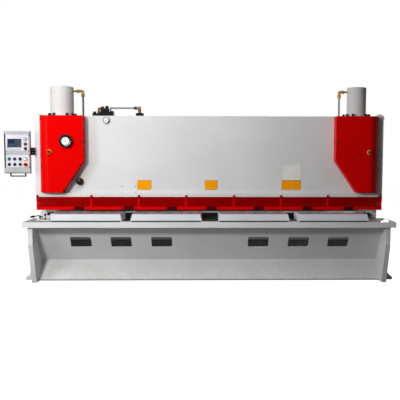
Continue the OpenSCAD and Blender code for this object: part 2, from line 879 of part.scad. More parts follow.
// Pump motor that lies on the two ties beside the tank
module pump_motor() {
    x0 = -tank_x + tank_l;
    foot = 40;
    z = tie_z + foot + motor_r;
    y = tank_y + tank_d / 2;
    placed() color([0.35, 0.38, 0.42]) {
        bar_x(x0, y, z, 70, 71);
        bar_x(x0 + 70, y, z, motor_r, 360);
        bar_x(x0 + 429, y, z, motor_r + 8, 50);
        block(x0 + 110, x0 + 380, y - 60, y + 60, z + motor_r - 20, z + motor_r + 50);
        block(x0 + 100, x0 + 400, tank_y + 5, tank_y + tank_d - 5, tie_z, z - motor_r + 20);
    }
}

// Cross beams between the side frames: two under the tank and one near the floor
module rear_ties() {
    tie_h = 90;
    tie_w = 80;
    wall = 8;
    placed() color(white)
        for (p = [[tank_y, tie_z - tie_h], [tank_y + tank_d - tie_w, tie_z - tie_h], [frame_back - 150, 260]])
            along_x(-inner_x, inner_x) translate(p) difference() {
                square([tie_w, tie_h]);
                translate([wall, wall]) square([tie_w - 2 * wall, tie_h - 2 * wall]);
            }
}

// Sloping sheet down which the cut pieces slide, and the upright guard sheet above its outlet
module sheet_chute() {
    y0 = shear_y;
    y1 = frame_back - 150;
    z0 = jaw_z - beam_h + 40;
    z1 = 350;
    t = 5;
    guard_y = frame_back - 60;
    guard_low = jaw_z - beam_h + 80;
    guard_high = throat_z - 20;
    placed() color(black) {
        along_x(-inner_x, inner_x)
            polygon([[y0, z0], [y0 + 4, z0 + t], [y1 + 60, z1 + t], [y1 + 60, z1], [y1, z1]]);
        block(-inner_x, inner_x, guard_y, guard_y + t, guard_low, guard_high);
    }
}

// Handwheel on the left cover: rim, web and shaft
module handwheel() {
    rim_r = 9;
    wheel_y = cover_y - 34;
    placed() color(black) translate([-wheel_x, wheel_y, wheel_z]) rotate([-90, 0, 0]) {
        rotate_extrude($fn = 64) translate([wheel_r - rim_r, 0]) circle(rim_r, $fn = 24);
        translate([0, 0, -5]) cylinder(h = 10, r = wheel_r - rim_r);
        cylinder(h = 60, r = shaft_r);
        cylinder(h = 18, r = shaft_r + 8);
    }
}

// White dial that sits in the handwheel's face
module handwheel_dial() {
    dial_y = cover_y - 34 - 5 - 7;
    placed() color([0.95, 0.95, 0.95]) bar_y(-wheel_x, dial_y, wheel_z, wheel_r - 23, 7);
}

module handwheel_bush() {
    placed() color(steel) translate([-wheel_x, cover_y, wheel_z]) rotate([-90, 0, 0]) difference() {
        union() {
            translate([0, 0, -10]) cylinder(h = 10, r = shaft_r + 14);
            cylinder(h = 20, r = shaft_r + 6);
        }
        translate([0, 0, -11]) cylinder(h = 33, r = shaft_r + rod_fit);
    }
}

// Emergency stop on each cover: yellow collar and red mushroom head
module emergency_stops() {
    placed() for (x = [-stop_x, stop_x])
        translate([x, cover_y, stop_z]) rotate([90, 0, 0]) {
            color(yellow) cylinder(h = 22, r = 30);
            color(red) translate([0, 0, 22]) cylinder(h = 12, r = 12);
            color(red) translate([0, 0, 33]) cylinder(h = 17, r1 = 20, r2 = 14);
        }
}

// Black knob that sets the blade gap, with its shaft in the panel
module blade_gap_knob() {
    placed() color(black) translate([-knob_x, panel_y, knob_z]) rotate([90, 0, 0]) {
        translate([0, 0, -panel_t]) cylinder(h = panel_t + 12, r = shaft_r);
        translate([0, 0, 11]) cylinder(h = 44, r1 = knob_r, r2 = knob_r - 4);
    }
}

// Yellow arc round the blade gap knob
module blade_gap_scale() {
    placed() color(yellow) along_y(panel_y - 3, panel_y) translate([-knob_x, knob_z]) difference() {
        circle(knob_r + 12);
        circle(shaft_r + 8);
        translate([-knob_r - 14, -knob_r - 14]) square([knob_r + 14 - 20, 2 * knob_r + 28]);
    }
}

// Round gauge with a raised bezel
module pressure_gauge() {
    placed() color([0.9, 0.9, 0.92]) translate([-gauge_dial_x, panel_y, gauge_dial_z]) rotate([90, 0, 0])
        rotate_extrude($fn = 64) polygon([[0, 0], [gauge_dial_r, 0], [gauge_dial_r, 26],
            [gauge_dial_r - 3, 29], [gauge_dial_r - 7, 29], [gauge_dial_r - 7, 24], [0, 24]]);
}

// Bare yellow plates on the panel, each given by its left, right, lower and upper edge
module yellow_plates() {
    plates = [[-949, -764, 1171, 1298], [-68, 97, 1171, 1298], [plate_x[0], plate_x[1], 1170, plate_step]];
    placed() color(yellow) for (p = plates)
        block(p[0], p[1], panel_y - 2, panel_y, p[2], p[3]);
}

// White plate over the right yellow one
module white_plate() {
    placed() color([0.95, 0.95, 0.95])
        block(plate_x[0], plate_x[1], panel_y - 2, panel_y, plate_step, plate_step + 208);
}

// Fixed half of the pendant's hinge: two knuckles with the pin, on the left upright's edge
module pendant_hinge() {
    placed() color(black) {
        bar_z(-hinge_x, hinge_y, hinge_z, hinge_r, hinge_h);
        for (z = [hinge_z, hinge_z + hinge_h - knuckle]) {
            bar_z(-hinge_x, hinge_y, z, knuckle_r, knuckle);
            block(-hinge_x - 6, -outer_x, hinge_y, upright_y + 50, z, z + knuckle);
        }
    }
}

// Depth and height outline of the pendant box, with large front radii and panel recesses
module box_outline() {
    recess = 5;
    edge = 4;
    difference() {
        union() {
            translate([box_y + box_r, box_low]) square([box_d - box_r, box_top - box_low]);
            translate([box_y, box_low + box_r]) square([box_d, box_top - box_low - 2 * box_r]);
            for (z = [box_low + box_r, box_top - box_r])
                translate([box_y + box_r, z]) circle(box_r);
        }
        for (s = [upper_sheet, lower_sheet])
            translate([box_y - 1, s[0] - edge]) square([recess + 1, s[1] - s[0] + 2 * edge]);
    }
}

// Aluminium pendant box with its hinge arm
module pendant_box() {
    z0 = hinge_z + knuckle + 2;
    z1 = hinge_z + hinge_h - knuckle - 2;
    placed() color([0.8, 0.81, 0.83]) difference() {
        union() {
            along_x(-box_left, -box_right) box_outline();
            block(-box_right, -hinge_x, hinge_y - 12, hinge_y + 12, z0, z1);
            bar_z(-hinge_x, hinge_y, z0, knuckle_r, z1 - z0);
        }
        bar_z(-hinge_x, hinge_y, z0 - 1, hinge_r + rod_fit, z1 - z0 + 2);
    }
}

// The two front panels in the box's recesses, and the screen's bezel
module pendant_panels() {
    edge = 12;
    sheet = 5;
    bezel_x = [-box_left + 35, -box_left + 236];
    bezel_z = [box_top - 242, box_top - 80];
    placed() color([0.82, 0.81, 0.86]) {
        for (s = [upper_sheet, lower_sheet])
            block(-box_left + edge, -box_right - edge, box_y, box_y + sheet, s[0], s[1]);
        block(bezel_x[0], bezel_x[1], box_y - 3, box_y, bezel_z[0], bezel_z[1]);
    }
}

// Knobs, switches and the mushroom button on the two panels
module pendant_controls() {
    knob_r = 17;
    columns = [66, 135, 205, 275];
    rows = [box_low + 187, box_low + 118];
    upper_rows = [box_top - 103, box_top - 164, box_top - 223];
    placed() {
        color(black) for (z = upper_rows)
            bar_y(-box_left + columns[3], box_y - 22, z, knob_r, 22);
        color(black) for (x = columns, z = rows)
            bar_y(-box_left + x, box_y - 18, z, knob_r, 18);
        color(red) bar_y(-box_left + columns[3], box_y - 40, rows[1], knob_r + 5, 22.5);
    }
}

// U handle under the pendant box
module pendant_handle() {
    r = 8;
    half = 95;
    x0 = -box_mid_x - half;
    x1 = -box_mid_x + half;
    y = box_y + box_r + r + 4;
    z = box_low - handle_drop + r;
    placed() color(black) {
        bar_x(x0, y, z, r, x1 - x0);
        for (x = [x0, x1]) {
            translate([x, y, z]) sphere(r);
            bar_z(x, y, z, r, box_low - z);
        }
    }
}

// Clamp with lever, knob and ball handle on the left table end, two ball knobs and a cap on the right
module table_levers() {
    y0 = plate_y + 60;
    y1 = plate_y + 110;
    y = (y0 + y1) / 2;
    clamp_x = [-2180, -2028];
    wall = 11;
    post_x = clamp_x[0] + 45;
    stud_x = -2078;
    ball_x = clamp_x[1] - wall / 2;
    grip_x = [-2268, -2202];
    lever_z = plate_z + 52;
    ball_z = plate_z + 88;
    cap_x = 2182;
    knobs = [[2040, 72, 17], [2095, 52, 26]];
    placed() {
        color(steel) along_y(y0, y1) polygon([[clamp_x[0], plate_z], [clamp_x[1], plate_z],
            [clamp_x[1], plate_z + 39], [clamp_x[1] - wall, plate_z + 39], [clamp_x[1] - wall, plate_z + wall],
            [clamp_x[0] + wall, plate_z + wall], [clamp_x[0] + wall, plate_z + 39], [clamp_x[0], plate_z + 39]]);
        color(black) {
            bar_z(post_x, y, plate_z + wall, 6, 107);
            bar_z(post_x, y, plate_z + 39, 24, 19);
            bar_x(grip_x[0], y, lever_z, 10, grip_x[1] - grip_x[0]);
            bar_x(grip_x[1] - 1, y, lever_z, 5, post_x - grip_x[1] + 1);
            bar_z(stud_x, y, plate_z + wall, 6, 60);
            bar_z(stud_x, y, plate_z + 66, 18, 25);
            bar_z(ball_x, y, plate_z + 39, 5, 50);
            translate([ball_x, y, ball_z]) sphere(21);
            bar_x(ball_x, y, ball_z + 16, 5, 70);
        }
        color(black) for (k = knobs) {
            bar_z(k[0], plate_back - 30, plate_z, 8, k[1]);
            translate([k[0], plate_back - 30, plate_z + k[1]]) sphere(k[2]);
        }
        color(steel) intersection() {
            translate([cap_x, 60, plate_z - 22]) sphere(62);
            block(cap_x - 62, cap_x + 62, 0, 125, plate_z, plate_z + 45);
        }
    }
}

left_side_frame();
right_side_frame();
levelling_screws();
table_bed();
apron();
table_plate_1();
table_plate_2();
table_plate_3();
table_plate_4();
table_bolts();
lower_blade();
front_panel();
finger_guard();
hold_down_cylinders();
hold_down_feet();
left_cover();
right_cover();
cylinder_seats();
left_cylinder();
right_cylinder();
piston_rods();
ram();
upper_blade();
ram_guides();
back_gauge();
left_pipe();
right_pipe();
pipe_fittings();
valve_manifold();
pump_pipe();
oil_tank();
pump_motor();
rear_ties();
sheet_chute();
handwheel();
handwheel_dial();
handwheel_bush();
emergency_stops();
blade_gap_knob();
blade_gap_scale();
pressure_gauge();
yellow_plates();
white_plate();
pendant_hinge();
pendant_box();
pendant_panels();
pendant_controls();
pendant_handle();
table_levers();
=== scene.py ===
"""Looks of a hydraulic guillotine shear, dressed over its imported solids. Metres, Z up, operator at -Y."""

import bpy
import bmesh
import numpy as np
from math import radians
from mathutils import Matrix


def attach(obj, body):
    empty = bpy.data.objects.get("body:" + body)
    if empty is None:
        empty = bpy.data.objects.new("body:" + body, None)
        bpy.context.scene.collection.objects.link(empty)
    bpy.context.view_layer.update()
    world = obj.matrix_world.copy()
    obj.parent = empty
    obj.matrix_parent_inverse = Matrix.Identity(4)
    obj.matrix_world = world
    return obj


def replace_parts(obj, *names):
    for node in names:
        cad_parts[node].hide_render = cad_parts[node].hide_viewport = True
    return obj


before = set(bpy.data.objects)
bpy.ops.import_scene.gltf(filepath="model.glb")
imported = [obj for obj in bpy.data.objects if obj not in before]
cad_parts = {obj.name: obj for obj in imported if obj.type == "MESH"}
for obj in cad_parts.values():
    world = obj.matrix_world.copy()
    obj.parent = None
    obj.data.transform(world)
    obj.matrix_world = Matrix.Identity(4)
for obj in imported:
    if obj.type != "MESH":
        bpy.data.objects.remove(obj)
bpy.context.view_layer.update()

# Studio: a pale floor and three soft boxes, the strongest at the upper left in front of the machine.
# The camera stands a little left of the machine's middle and looks slightly down and to the right.
camera = bpy.data.cameras.new("camera")
camera.lens = 54.284
camera.sensor_width = 36.0
camera.shift_x = -17.95 / 400
camera.clip_end = 100.0
camera_object = bpy.data.objects.new("camera", camera)
camera_object.location = (-0.0535, -8.394, 1.6284)
camera_object.rotation_euler = (radians(90 - 4.29), radians(-0.115), radians(-1.137))
bpy.context.scene.collection.objects.link(camera_object)
bpy.context.scene.camera = camera_object
bpy.context.scene.view_settings.view_transform = "Standard"


def seen_directly(tree):
    """1 for a ray from the camera or one that a glossy or clear surface sends on, else 0."""
    path = tree.nodes.new("ShaderNodeLightPath")
    either = tree.nodes.new("ShaderNodeMath")
    either.operation = "MAXIMUM"
    tree.links.new(path.outputs["Is Camera Ray"], either.inputs[0])
    tree.links.new(path.outputs["Is Glossy Ray"], either.inputs[1])
    any_of = tree.nodes.new("ShaderNodeMath")
    any_of.operation = "MAXIMUM"
    tree.links.new(either.outputs[0], any_of.inputs[0])
    tree.links.new(path.outputs["Is Transmission Ray"], any_of.inputs[1])
    return any_of.outputs[0]


world = bpy.data.worlds.new("studio")
world.use_nodes = True
bpy.context.scene.world = world
sky = world.node_tree
sky.nodes.clear()
lit = sky.nodes.new("ShaderNodeBackground")
lit.inputs["Color"].default_value = (0.93, 0.96, 1.0, 1.0)
lit.inputs["Strength"].default_value = 0.07
white_sky = sky.nodes.new("ShaderNodeBackground")
white_sky.inputs["Color"].default_value = (1.0, 1.0, 1.0, 1.0)
white_sky.inputs["Strength"].default_value = 1.0
choose = sky.nodes.new("ShaderNodeMixShader")
sky_out = sky.nodes.new("ShaderNodeOutputWorld")
sky.links.new(seen_directly(sky), choose.inputs[0])
sky.links.new(lit.outputs[0], choose.inputs[1])
sky.links.new(white_sky.outputs[0], choose.inputs[2])
sky.links.new(choose.outputs[0], sky_out.inputs["Surface"])

floor_mesh = bpy.data.meshes.new("floor")
floor_mesh.from_pydata([(-30, -30, 0), (30, -30, 0), (30, 30, 0), (-30, 30, 0)], [], [(0, 1, 2, 3)])
floor = bpy.data.objects.new("floor", floor_mesh)
bpy.context.scene.collection.objects.link(floor)
floor_paint = bpy.data.materials.new("studio_floor")
floor_paint.use_nodes = True
ground = floor_paint.node_tree
ground.nodes.clear()
pale = ground.nodes.new("ShaderNodeBsdfDiffuse")
pale.inputs["Color"].default_value = (0.35, 0.35, 0.35, 1.0)
glow = ground.nodes.new("ShaderNodeEmission")
glow.inputs["Color"].default_value = (1.0, 1.0, 1.0, 1.0)
glow.inputs["Strength"].default_value = 0.97
bright = ground.nodes.new("ShaderNodeAddShader")
dull = ground.nodes.new("ShaderNodeBsdfDiffuse")
dull.inputs["Color"].default_value = (0.22, 0.22, 0.22, 1.0)
pick = ground.nodes.new("ShaderNodeMixShader")
ground_out = ground.nodes.new("ShaderNodeOutputMaterial")
ground.links.new(pale.outputs[0], bright.inputs[0])
ground.links.new(glow.outputs[0], bright.inputs[1])
ground.links.new(seen_directly(ground), pick.inputs[0])
ground.links.new(dull.outputs[0], pick.inputs[1])
ground.links.new(bright.outputs[0], pick.inputs[2])
ground.links.new(pick.outputs[0], ground_out.inputs["Surface"])
floor_mesh.materials.append(floor_paint)


def soft_box(name, place, target, width, height, watts, tint, mirrored=True):
    """An area lamp at place that faces target. Gloss shows it only where mirrored is true."""
    lamp = bpy.data.lights.new(name, "AREA")
    lamp.shape = "RECTANGLE"
    lamp.size, lamp.size_y = width, height
    lamp.energy = watts
    lamp.color = tint
    obj = bpy.data.objects.new(name, lamp)
    away = np.array(place, float) - np.array(target, float)
    away /= np.linalg.norm(away)
    side = np.cross((0.0, 0.0, 1.0), away)
    side /= np.linalg.norm(side)
    up = np.cross(away, side)
    turn = Matrix((side, up, away)).transposed().to_4x4()
    obj.matrix_world = Matrix.Translation(place) @ turn
    obj.visible_glossy = mirrored
    bpy.context.scene.collection.objects.link(obj)


soft_box("key", (-3.0, -5.1, 2.8), (-1.2, -0.5, 0.8), 0.6, 0.6, 165.0, (1.0, 0.985, 0.96), False)
soft_box("side", (-6.0, -4.4, 2.6), (-1.8, -0.5, 1.2), 1.0, 2.6, 95.0, (1.0, 1.0, 1.0))
soft_box("top", (-2.0, -3.1, 4.8), (-1.2, -0.4, 0.4), 3.4, 1.5, 98.0, (1.0, 1.0, 1.0), False)
soft_box("back", (1.0, 6.5, 4.5), (0.0, 0.0, 1.2), 4.0, 2.5, 420.0, (0.97, 0.98, 1.0), False)

# Side frames, table bed, apron, ram and the other welded steel plate work of the machine.
# Mild steel, shot blasted and sprayed with a pale grey-white enamel with a light orange peel.


def new_surface(name):
    """A material with only its shader and output, and the shader's tree."""
    material = bpy.data.materials.new(name)
    material.use_nodes = True
    tree = material.node_tree
    tree.nodes.clear()
    shader = tree.nodes.new("ShaderNodeBsdfPrincipled")
    out = tree.nodes.new("ShaderNodeOutputMaterial")
    tree.links.new(shader.outputs[0], out.inputs["Surface"])
    return material, tree, shader


def place_of(tree, stretch=(1.0, 1.0, 1.0)):
    """The surface's own place in metres, stretched along the axes, for a pattern to read."""
    where = tree.nodes.new("ShaderNodeTexCoord")
    mapping = tree.nodes.new("ShaderNodeMapping")
    mapping.inputs["Scale"].default_value = stretch
    tree.links.new(where.outputs["Object"], mapping.inputs["Vector"])
    return mapping.outputs[0]


def mottle(tree, scale, detail, stretch=(1.0, 1.0, 1.0)):
    """Cloudy pattern from 0 to 1, with about scale clouds a metre."""
    noise = tree.nodes.new("ShaderNodeTexNoise")
    noise.inputs["Scale"].default_value = scale
    noise.inputs["Detail"].default_value = detail
    tree.links.new(place_of(tree, stretch), noise.inputs["Vector"])
    return noise.outputs["Fac"]


def spread(tree, value, low, high, from_low=0.3, from_high=0.7):
    """Straight line from one range of a pattern to another."""
    line = tree.nodes.new("ShaderNodeMapRange")
    line.inputs["From Min"].default_value = from_low
    line.inputs["From Max"].default_value = from_high
    line.inputs["To Min"].default_value = low
    line.inputs["To Max"].default_value = high
    tree.links.new(value, line.inputs["Value"])
    return line.outputs[0]


def between(tree, factor, first, second):
    """Colour that goes from first to second as the factor goes from 0 to 1. Each may be a colour or a socket."""
    blend = tree.nodes.new("ShaderNodeMix")
    blend.data_type = "RGBA"
    tree.links.new(factor, blend.inputs[0])
    for socket, colour in ((blend.inputs[6], first), (blend.inputs[7], second)):
        if hasattr(colour, "links"):
            tree.links.new(colour, socket)
        else:
            socket.default_value = (*colour, 1.0)
    return blend.outputs[2]


def raise_bumps(tree, shader, pattern, depth, distance):
    """Lifts the surface by the pattern, depth of the distance in metres."""
    bump = tree.nodes.new("ShaderNodeBump")
    bump.inputs["Strength"].default_value = depth
    bump.inputs["Distance"].default_value = distance
    tree.links.new(pattern, bump.inputs["Height"])
    tree.links.new(bump.outputs[0], shader.inputs["Normal"])


def enamel(name, colour, rough, peel=0.25, cloud=0.05, shine=0.3, dust=0.0):
    """Sprayed paint: colour in faint clouds, dust that settles low down, roughness in smaller clouds, orange peel."""
    material, tree, shader = new_surface(name)
    paler = tuple(min(1.0, c * (1 + cloud)) for c in colour)
    darker = tuple(c * (1 - cloud) for c in colour)
    body = between(tree, spread(tree, mottle(tree, 1.7, 4.0), 0.0, 1.0), darker, paler)
    if dust > 0:
        height = tree.nodes.new("ShaderNodeSeparateXYZ")
        tree.links.new(place_of(tree), height.inputs[0])
        low = spread(tree, height.outputs["Z"], dust, 0.0, 0.0, 0.35)
        speckle = tree.nodes.new("ShaderNodeMath")
        speckle.operation = "MULTIPLY"
        tree.links.new(low, speckle.inputs[0])
        tree.links.new(spread(tree, mottle(tree, 14.0, 8.0), 0.3, 1.0), speckle.inputs[1])
        body = between(tree, speckle.outputs[0], body, (0.34, 0.32, 0.29))
    tree.links.new(body, shader.inputs["Base Color"])
    tree.links.new(spread(tree, mottle(tree, 9.0, 3.0), rough - 0.05, rough + 0.05), shader.inputs["Roughness"])
    shader.inputs["Specular IOR Level"].default_value = shine
    raise_bumps(tree, shader, mottle(tree, 420.0, 1.0), peel, 0.0004)
    return material


def dress(node, material):
    """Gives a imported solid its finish."""
    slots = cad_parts[node].material_slots
    for one in slots:
        one.material = material


pale_enamel = enamel("pale_enamel", (0.66, 0.665, 0.67), 0.45, shine=0.12, dust=0.35)
for node in ("left_side_frame", "right_side_frame", "table_bed", "apron", "front_panel", "cylinder_seats",
             "ram", "rear_ties"):
    dress(node, pale_enamel)


def at(x, y, z):
    """Row place in metres of a point in millimetres, whose depth is counted from the table's front face."""
    return np.array((x, y - 970.0, z)) / 1000.0


def made(name, grids, material, body="frame", sharp=38.0):
    """One object from grids of points (rows x columns x 3, in metres). The last column joins the first, and each
    grid's ends are closed by a row at their middle. Doubles are merged and faces turned outwards."""
    points, faces, start = [], [], 0
    for grid in grids:
        grid = np.asarray(grid, float)
        ends = grid[:1].mean(axis=1, keepdims=True), grid[-1:].mean(axis=1, keepdims=True)
        around = grid.shape[1]
        grid = np.concatenate([np.repeat(ends[0], around, 1), grid, np.repeat(ends[1], around, 1)])
        index = start + np.arange(grid.shape[0] * around).reshape(-1, around)
        beside = np.roll(index, -1, axis=1)
        faces.append(np.stack([index[:-1], beside[:-1], beside[1:], index[1:]], -1).reshape(-1, 4))
        points.append(grid.reshape(-1, 3))
        start += index.size
    points, faces = np.concatenate(points), np.concatenate(faces)
    mesh = bpy.data.meshes.new(name)
    mesh.vertices.add(len(points))
    mesh.vertices.foreach_set("co", points.ravel())
    mesh.loops.add(faces.size)
    mesh.loops.foreach_set("vertex_index", faces.ravel())
    mesh.polygons.add(len(faces))
    mesh.polygons.foreach_set("loop_start", np.arange(0, faces.size, 4))
    mesh.update(calc_edges=True)
    work = bmesh.new()
    work.from_mesh(mesh)
    bmesh.ops.remove_doubles(work, verts=work.verts, dist=2e-6)
    bmesh.ops.recalc_face_normals(work, faces=work.faces)
    work.to_mesh(mesh)
    work.free()
    mesh.polygons.foreach_set("use_smooth", np.ones(len(mesh.polygons), bool))
    mesh.set_sharp_from_angle(angle=radians(sharp))
    mesh.materials.append(material)
    obj = bpy.data.objects.new(name, mesh)
    bpy.context.scene.collection.objects.link(obj)
    even = obj.modifiers.new("even_shading", "WEIGHTED_NORMAL")
    even.keep_sharp = True
    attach(obj, body)
    return obj


def swept(path, radius, sides=12):
    """Round bar along a path: at each point a circle across the path's direction, of that point's radius."""
    path = np.asarray(path, float)
    along = np.gradient(path, axis=0)
    along /= np.linalg.norm(along, axis=1, keepdims=True)
    fixed = np.eye(3)[np.argmin(np.abs(along).max(axis=0))]
    side = np.cross(along, fixed)
    side /= np.linalg.norm(side, axis=1, keepdims=True)
    over = np.cross(along, side)
    turn = np.linspace(0, 2 * np.pi, sides, endpoint=False)
    radius = np.broadcast_to(np.asarray(radius, float), len(path))[:, None, None]
    ring = np.cos(turn)[None, :, None] * side[:, None] + np.sin(turn)[None, :, None] * over[:, None]
    return path[:, None] + radius * ring


def along_line(corners, pitch):
    """Points every pitch along straight lines through the corners."""
    corners = np.asarray(corners, float)
    runs = np.linalg.norm(np.diff(corners, axis=0), axis=1)
    gone = np.concatenate([[0.0], np.cumsum(runs)])
    steps = np.linspace(0, gone[-1], int(gone[-1] / pitch) + 1)
    return np.stack([np.interp(steps, gone, corners[:, k]) for k in range(3)], axis=1)


# The fillet welds that join the folded apron to the two side frames, front and back.
# One pass each, laid by hand and painted over, so the ripples are still felt under the enamel.
welds = []
for side in (-1, 1):
    seam = along_line([at(side * 2201, 151, 722), at(side * 2201, 454, 254), at(side * 2201, 289, 36)], 0.006)
    ripple = 0.0065 + 0.0007 * np.sin(np.arange(len(seam)) * 1.7) + 0.0004 * np.sin(np.arange(len(seam)) * 0.31)
    welds.append(swept(seam, ripple, 8))
made("apron_welds", welds, pale_enamel)

# Four raised table plates, milled all over, sprayed on the front and left bare on top, where the sheet slides.
# Each is screwed on the bar and has five ball transfers: a steel ball in a flanged cup, pressed in from above.
PLATE_LEFT_ENDS = (-2003.5, -999.5, 104.5, 1108.5)
PLATE_LENGTH = 895.0
plate_enamel = enamel("plate_enamel", (0.63, 0.655, 0.71), 0.4, shine=0.15)
for number in (1, 2, 3, 4):
    dress("table_plate_%d" % number, plate_enamel)


def eased_block(low, high, ease=2.0, steps=3):
    """Block between two corners in millimetres, every edge rounded. At the angle s from an X end the outline in
    depth and height is its core plus a quarter circle of ease * sin(s), and stands ease * (1 - cos(s)) inwards."""
    low, high = np.asarray(low, float), np.asarray(high, float)
    ease = min(ease, 0.49 * (high - low).min())
    middle, core = (low + high) / 2, (high - low) / 2 - ease
    turn = np.concatenate([np.linspace(90 * k, 90 * k + 90, steps + 1) for k in range(4)])
    corner = np.repeat([(1, 1), (-1, 1), (-1, -1), (1, -1)], steps + 1, axis=0)
    arc = np.stack([np.cos(np.radians(turn)), np.sin(np.radians(turn))], axis=1)
    rise = np.linspace(0, np.pi / 2, steps + 1)
    places = np.concatenate([low[0] + ease * (1 - np.cos(rise)), high[0] - ease * (1 - np.cos(rise[::-1]))])
    swell = np.concatenate([np.sin(rise), np.sin(rise[::-1])])
    flat = middle[1:] + corner * core[1:] + ease * swell[:, None, None] * arc[None]
    across = np.broadcast_to(places[:, None, None], flat.shape[:2] + (1,))
    return (np.concatenate([across, flat], axis=2) - (0.0, 970.0, 0.0)) / 1000.0


def turned(profile, place, axis=(0.0, 0.0, 1.0), sides=32):
    """Lathe work: each profile row (radius, height) in millimetres becomes a circle round the axis from place."""
    radius, height = np.asarray(profile, float).T / 1000.0
    axis = np.asarray(axis, float) / np.linalg.norm(axis)
    first = np.cross(axis, np.eye(3)[np.argmin(np.abs(axis))])
    first /= np.linalg.norm(first)
    second = np.cross(axis, first)
    turn = np.linspace(0, 2 * np.pi, sides, endpoint=False)
    ring = np.cos(turn)[:, None] * first + np.sin(turn)[:, None] * second
    return np.asarray(place) + height[:, None, None] * axis + radius[:, None, None] * ring[None]


def bare_metal(name, colour, rough, grain, stretch=(1.0, 1.0, 1.0), metal=1.0, stain=0.82):
    """Metal with tool marks: a fine pattern stretched along the cut changes roughness and lifts the surface."""
    material, tree, shader = new_surface(name)
    marks = mottle(tree, grain, 3.0, stretch)
    darker = tuple(c * stain for c in colour)
    tree.links.new(between(tree, spread(tree, mottle(tree, 6.0, 5.0), 0.0, 1.0), darker, colour),
                   shader.inputs["Base Color"])
    tree.links.new(spread(tree, marks, rough - 0.08, rough + 0.1), shader.inputs["Roughness"])
    shader.inputs["Metallic"].default_value = metal
    shader.inputs["Specular IOR Level"].default_value = 0.1
    raise_bumps(tree, shader, marks, 0.2, 0.0003)
    return material


# The bare tops are tinted pink: a painted reflection of the red guard above them.
top_steel_painted_reflection = bare_metal("top_steel_painted_reflection", (0.4, 0.37, 0.37), 0.36, 50.0, (1.0, 30.0, 1.0), metal=0.35)
made("plate_tops", [eased_block((left + 22, 122, 881.2), (left + PLATE_LENGTH - 22, 498, 882.4), 0.4)
                    for left in PLATE_LEFT_ENDS], top_steel_painted_reflection)
ball_steel = bare_metal("ball_steel", (0.5, 0.5, 0.52), 0.22, 60.0)
dark_cup = bare_metal("dark_cup", (0.06, 0.055, 0.05), 0.45, 60.0)
spots = [at(left + 186.0 + 143.0 * k, 300.0 + 100.0 * (k % 2), 882.0)
         for left in PLATE_LEFT_ENDS for k in range(5)]
cup = [(30, -1.5), (30, 1.2), (29, 2.2), (22, 2.8), (20, 1.0), (19, -1.5)]
made("transfer_cups", [turned(cup, spot, sides=24) for spot in spots], dark_cup)
lift = np.radians(np.linspace(0, 90, 6))
cap = np.stack([18.0 * np.cos(lift), 9.0 * np.sin(lift)], axis=1)
made("transfer_balls", [turned(cap, spot, sides=20) for spot in spots], ball_steel)

# The table bar's top between and under the raised plates is left in mill scale and oil; its brown black is partly
# painted shade, the shadow under the plates' front edges and in the gaps. Behind the gaps stands the blade beam's face,
# with the same skin and shade. The bar's front top edge is painted.
scale_steel_painted_shade = bare_metal("scale_steel_painted_shade", (0.035, 0.031, 0.028), 0.5, 40.0, (3.0, 1.0, 1.0), metal=0.2, stain=0.6)
gap_ends = [(left + PLATE_LENGTH, left + PLATE_LENGTH + gap)
            for left, gap in zip(PLATE_LEFT_ENDS[:3], (109.0, 209.0, 109.0))]
scale_and_shade_skins = [eased_block((left + 14, 22, 793), (left + PLATE_LENGTH - 14, 121, 794.8), 0.6)
               for left in PLATE_LEFT_ENDS]
for x0, x1 in gap_ends:
    scale_and_shade_skins.append(eased_block((x0 + 1, 104, 793), (x1 - 1, 498, 794.8), 0.6))
    scale_and_shade_skins.append(eased_block((x0 + 1, 496, 794), (x1 - 1, 499.6, 867), 0.6))
made("bar_scale_and_shade", scale_and_shade_skins, scale_steel_painted_shade)
end_skin = bare_metal("end_skin", (0.3, 0.29, 0.29), 0.5, 40.0, (3.0, 1.0, 1.0), metal=0.2, stain=0.7)
made("bar_end_skins", [eased_block((side * 2161 - 152, 30, 793), (side * 2161 + 152, 498, 794.6), 0.6)
                       for side in (-1, 1)], end_skin)

# Lower and upper blade, hardened tool steel ground on all faces, and the bolts that hold them.
# The lower blade's bolts show in the gaps between the raised plates.
ground_blade = bare_metal("ground_blade", (0.42, 0.43, 0.46), 0.28, 40.0, (1.0, 40.0, 40.0))
for node in ("lower_blade", "upper_blade"):
    dress(node, ground_blade)
black_oxide = bare_metal("black_oxide_finish", (0.012, 0.012, 0.014), 0.45, 70.0, metal=0.0)
heads = [at(x, 484.0, 846.0) for x in (-1079, -1029, -75, -25, 25, 75, 1029, 1079)]
socket_head = [(5, -2), (5, 6), (7, 7), (15.5, 7), (17, 5.5), (17, -10)]
bolts = made("lower_blade_bolts", [turned(socket_head, head, (0, -1, 0), 24) for head in heads],
             black_oxide)
dress("table_bolts", black_oxide)
upper_spots = [at(x, 575.0, 947.0 + 84.0 * (x + 2000.0) / 4000.0) for x in np.linspace(-1900, 1900, 20)]
made("upper_blade_bolts", [turned([(6, -4), (6, 0.6), (11, 0.6), (11.5, 0)], spot, (0, -1, 0), 20)
                           for spot in upper_spots], black_oxide, body="ram")

# The chute behind the lower blade, down which the cut pieces slide, and the guard sheet above its outlet.
# Plain black sheet, screwed to the side frames. Its near black is also painted shade for the dark seen through the
# guard.
dress("sheet_chute", scale_steel_painted_shade)
made("rear_guard_screws", [turned([(3, 1), (3.2, 3), (7, 4), (9, 2.5), (10, 0)], at(x, 1595, z), (0, 1, 0), 16)
                           for x in np.linspace(-2170, 2170, 9) for z in (665, 975)], black_oxide)

# Front panel with its thick lower band. The four small holes are for a plate that isn't fitted here.
# Two bare yellow plates and a white one over a third are riveted on.


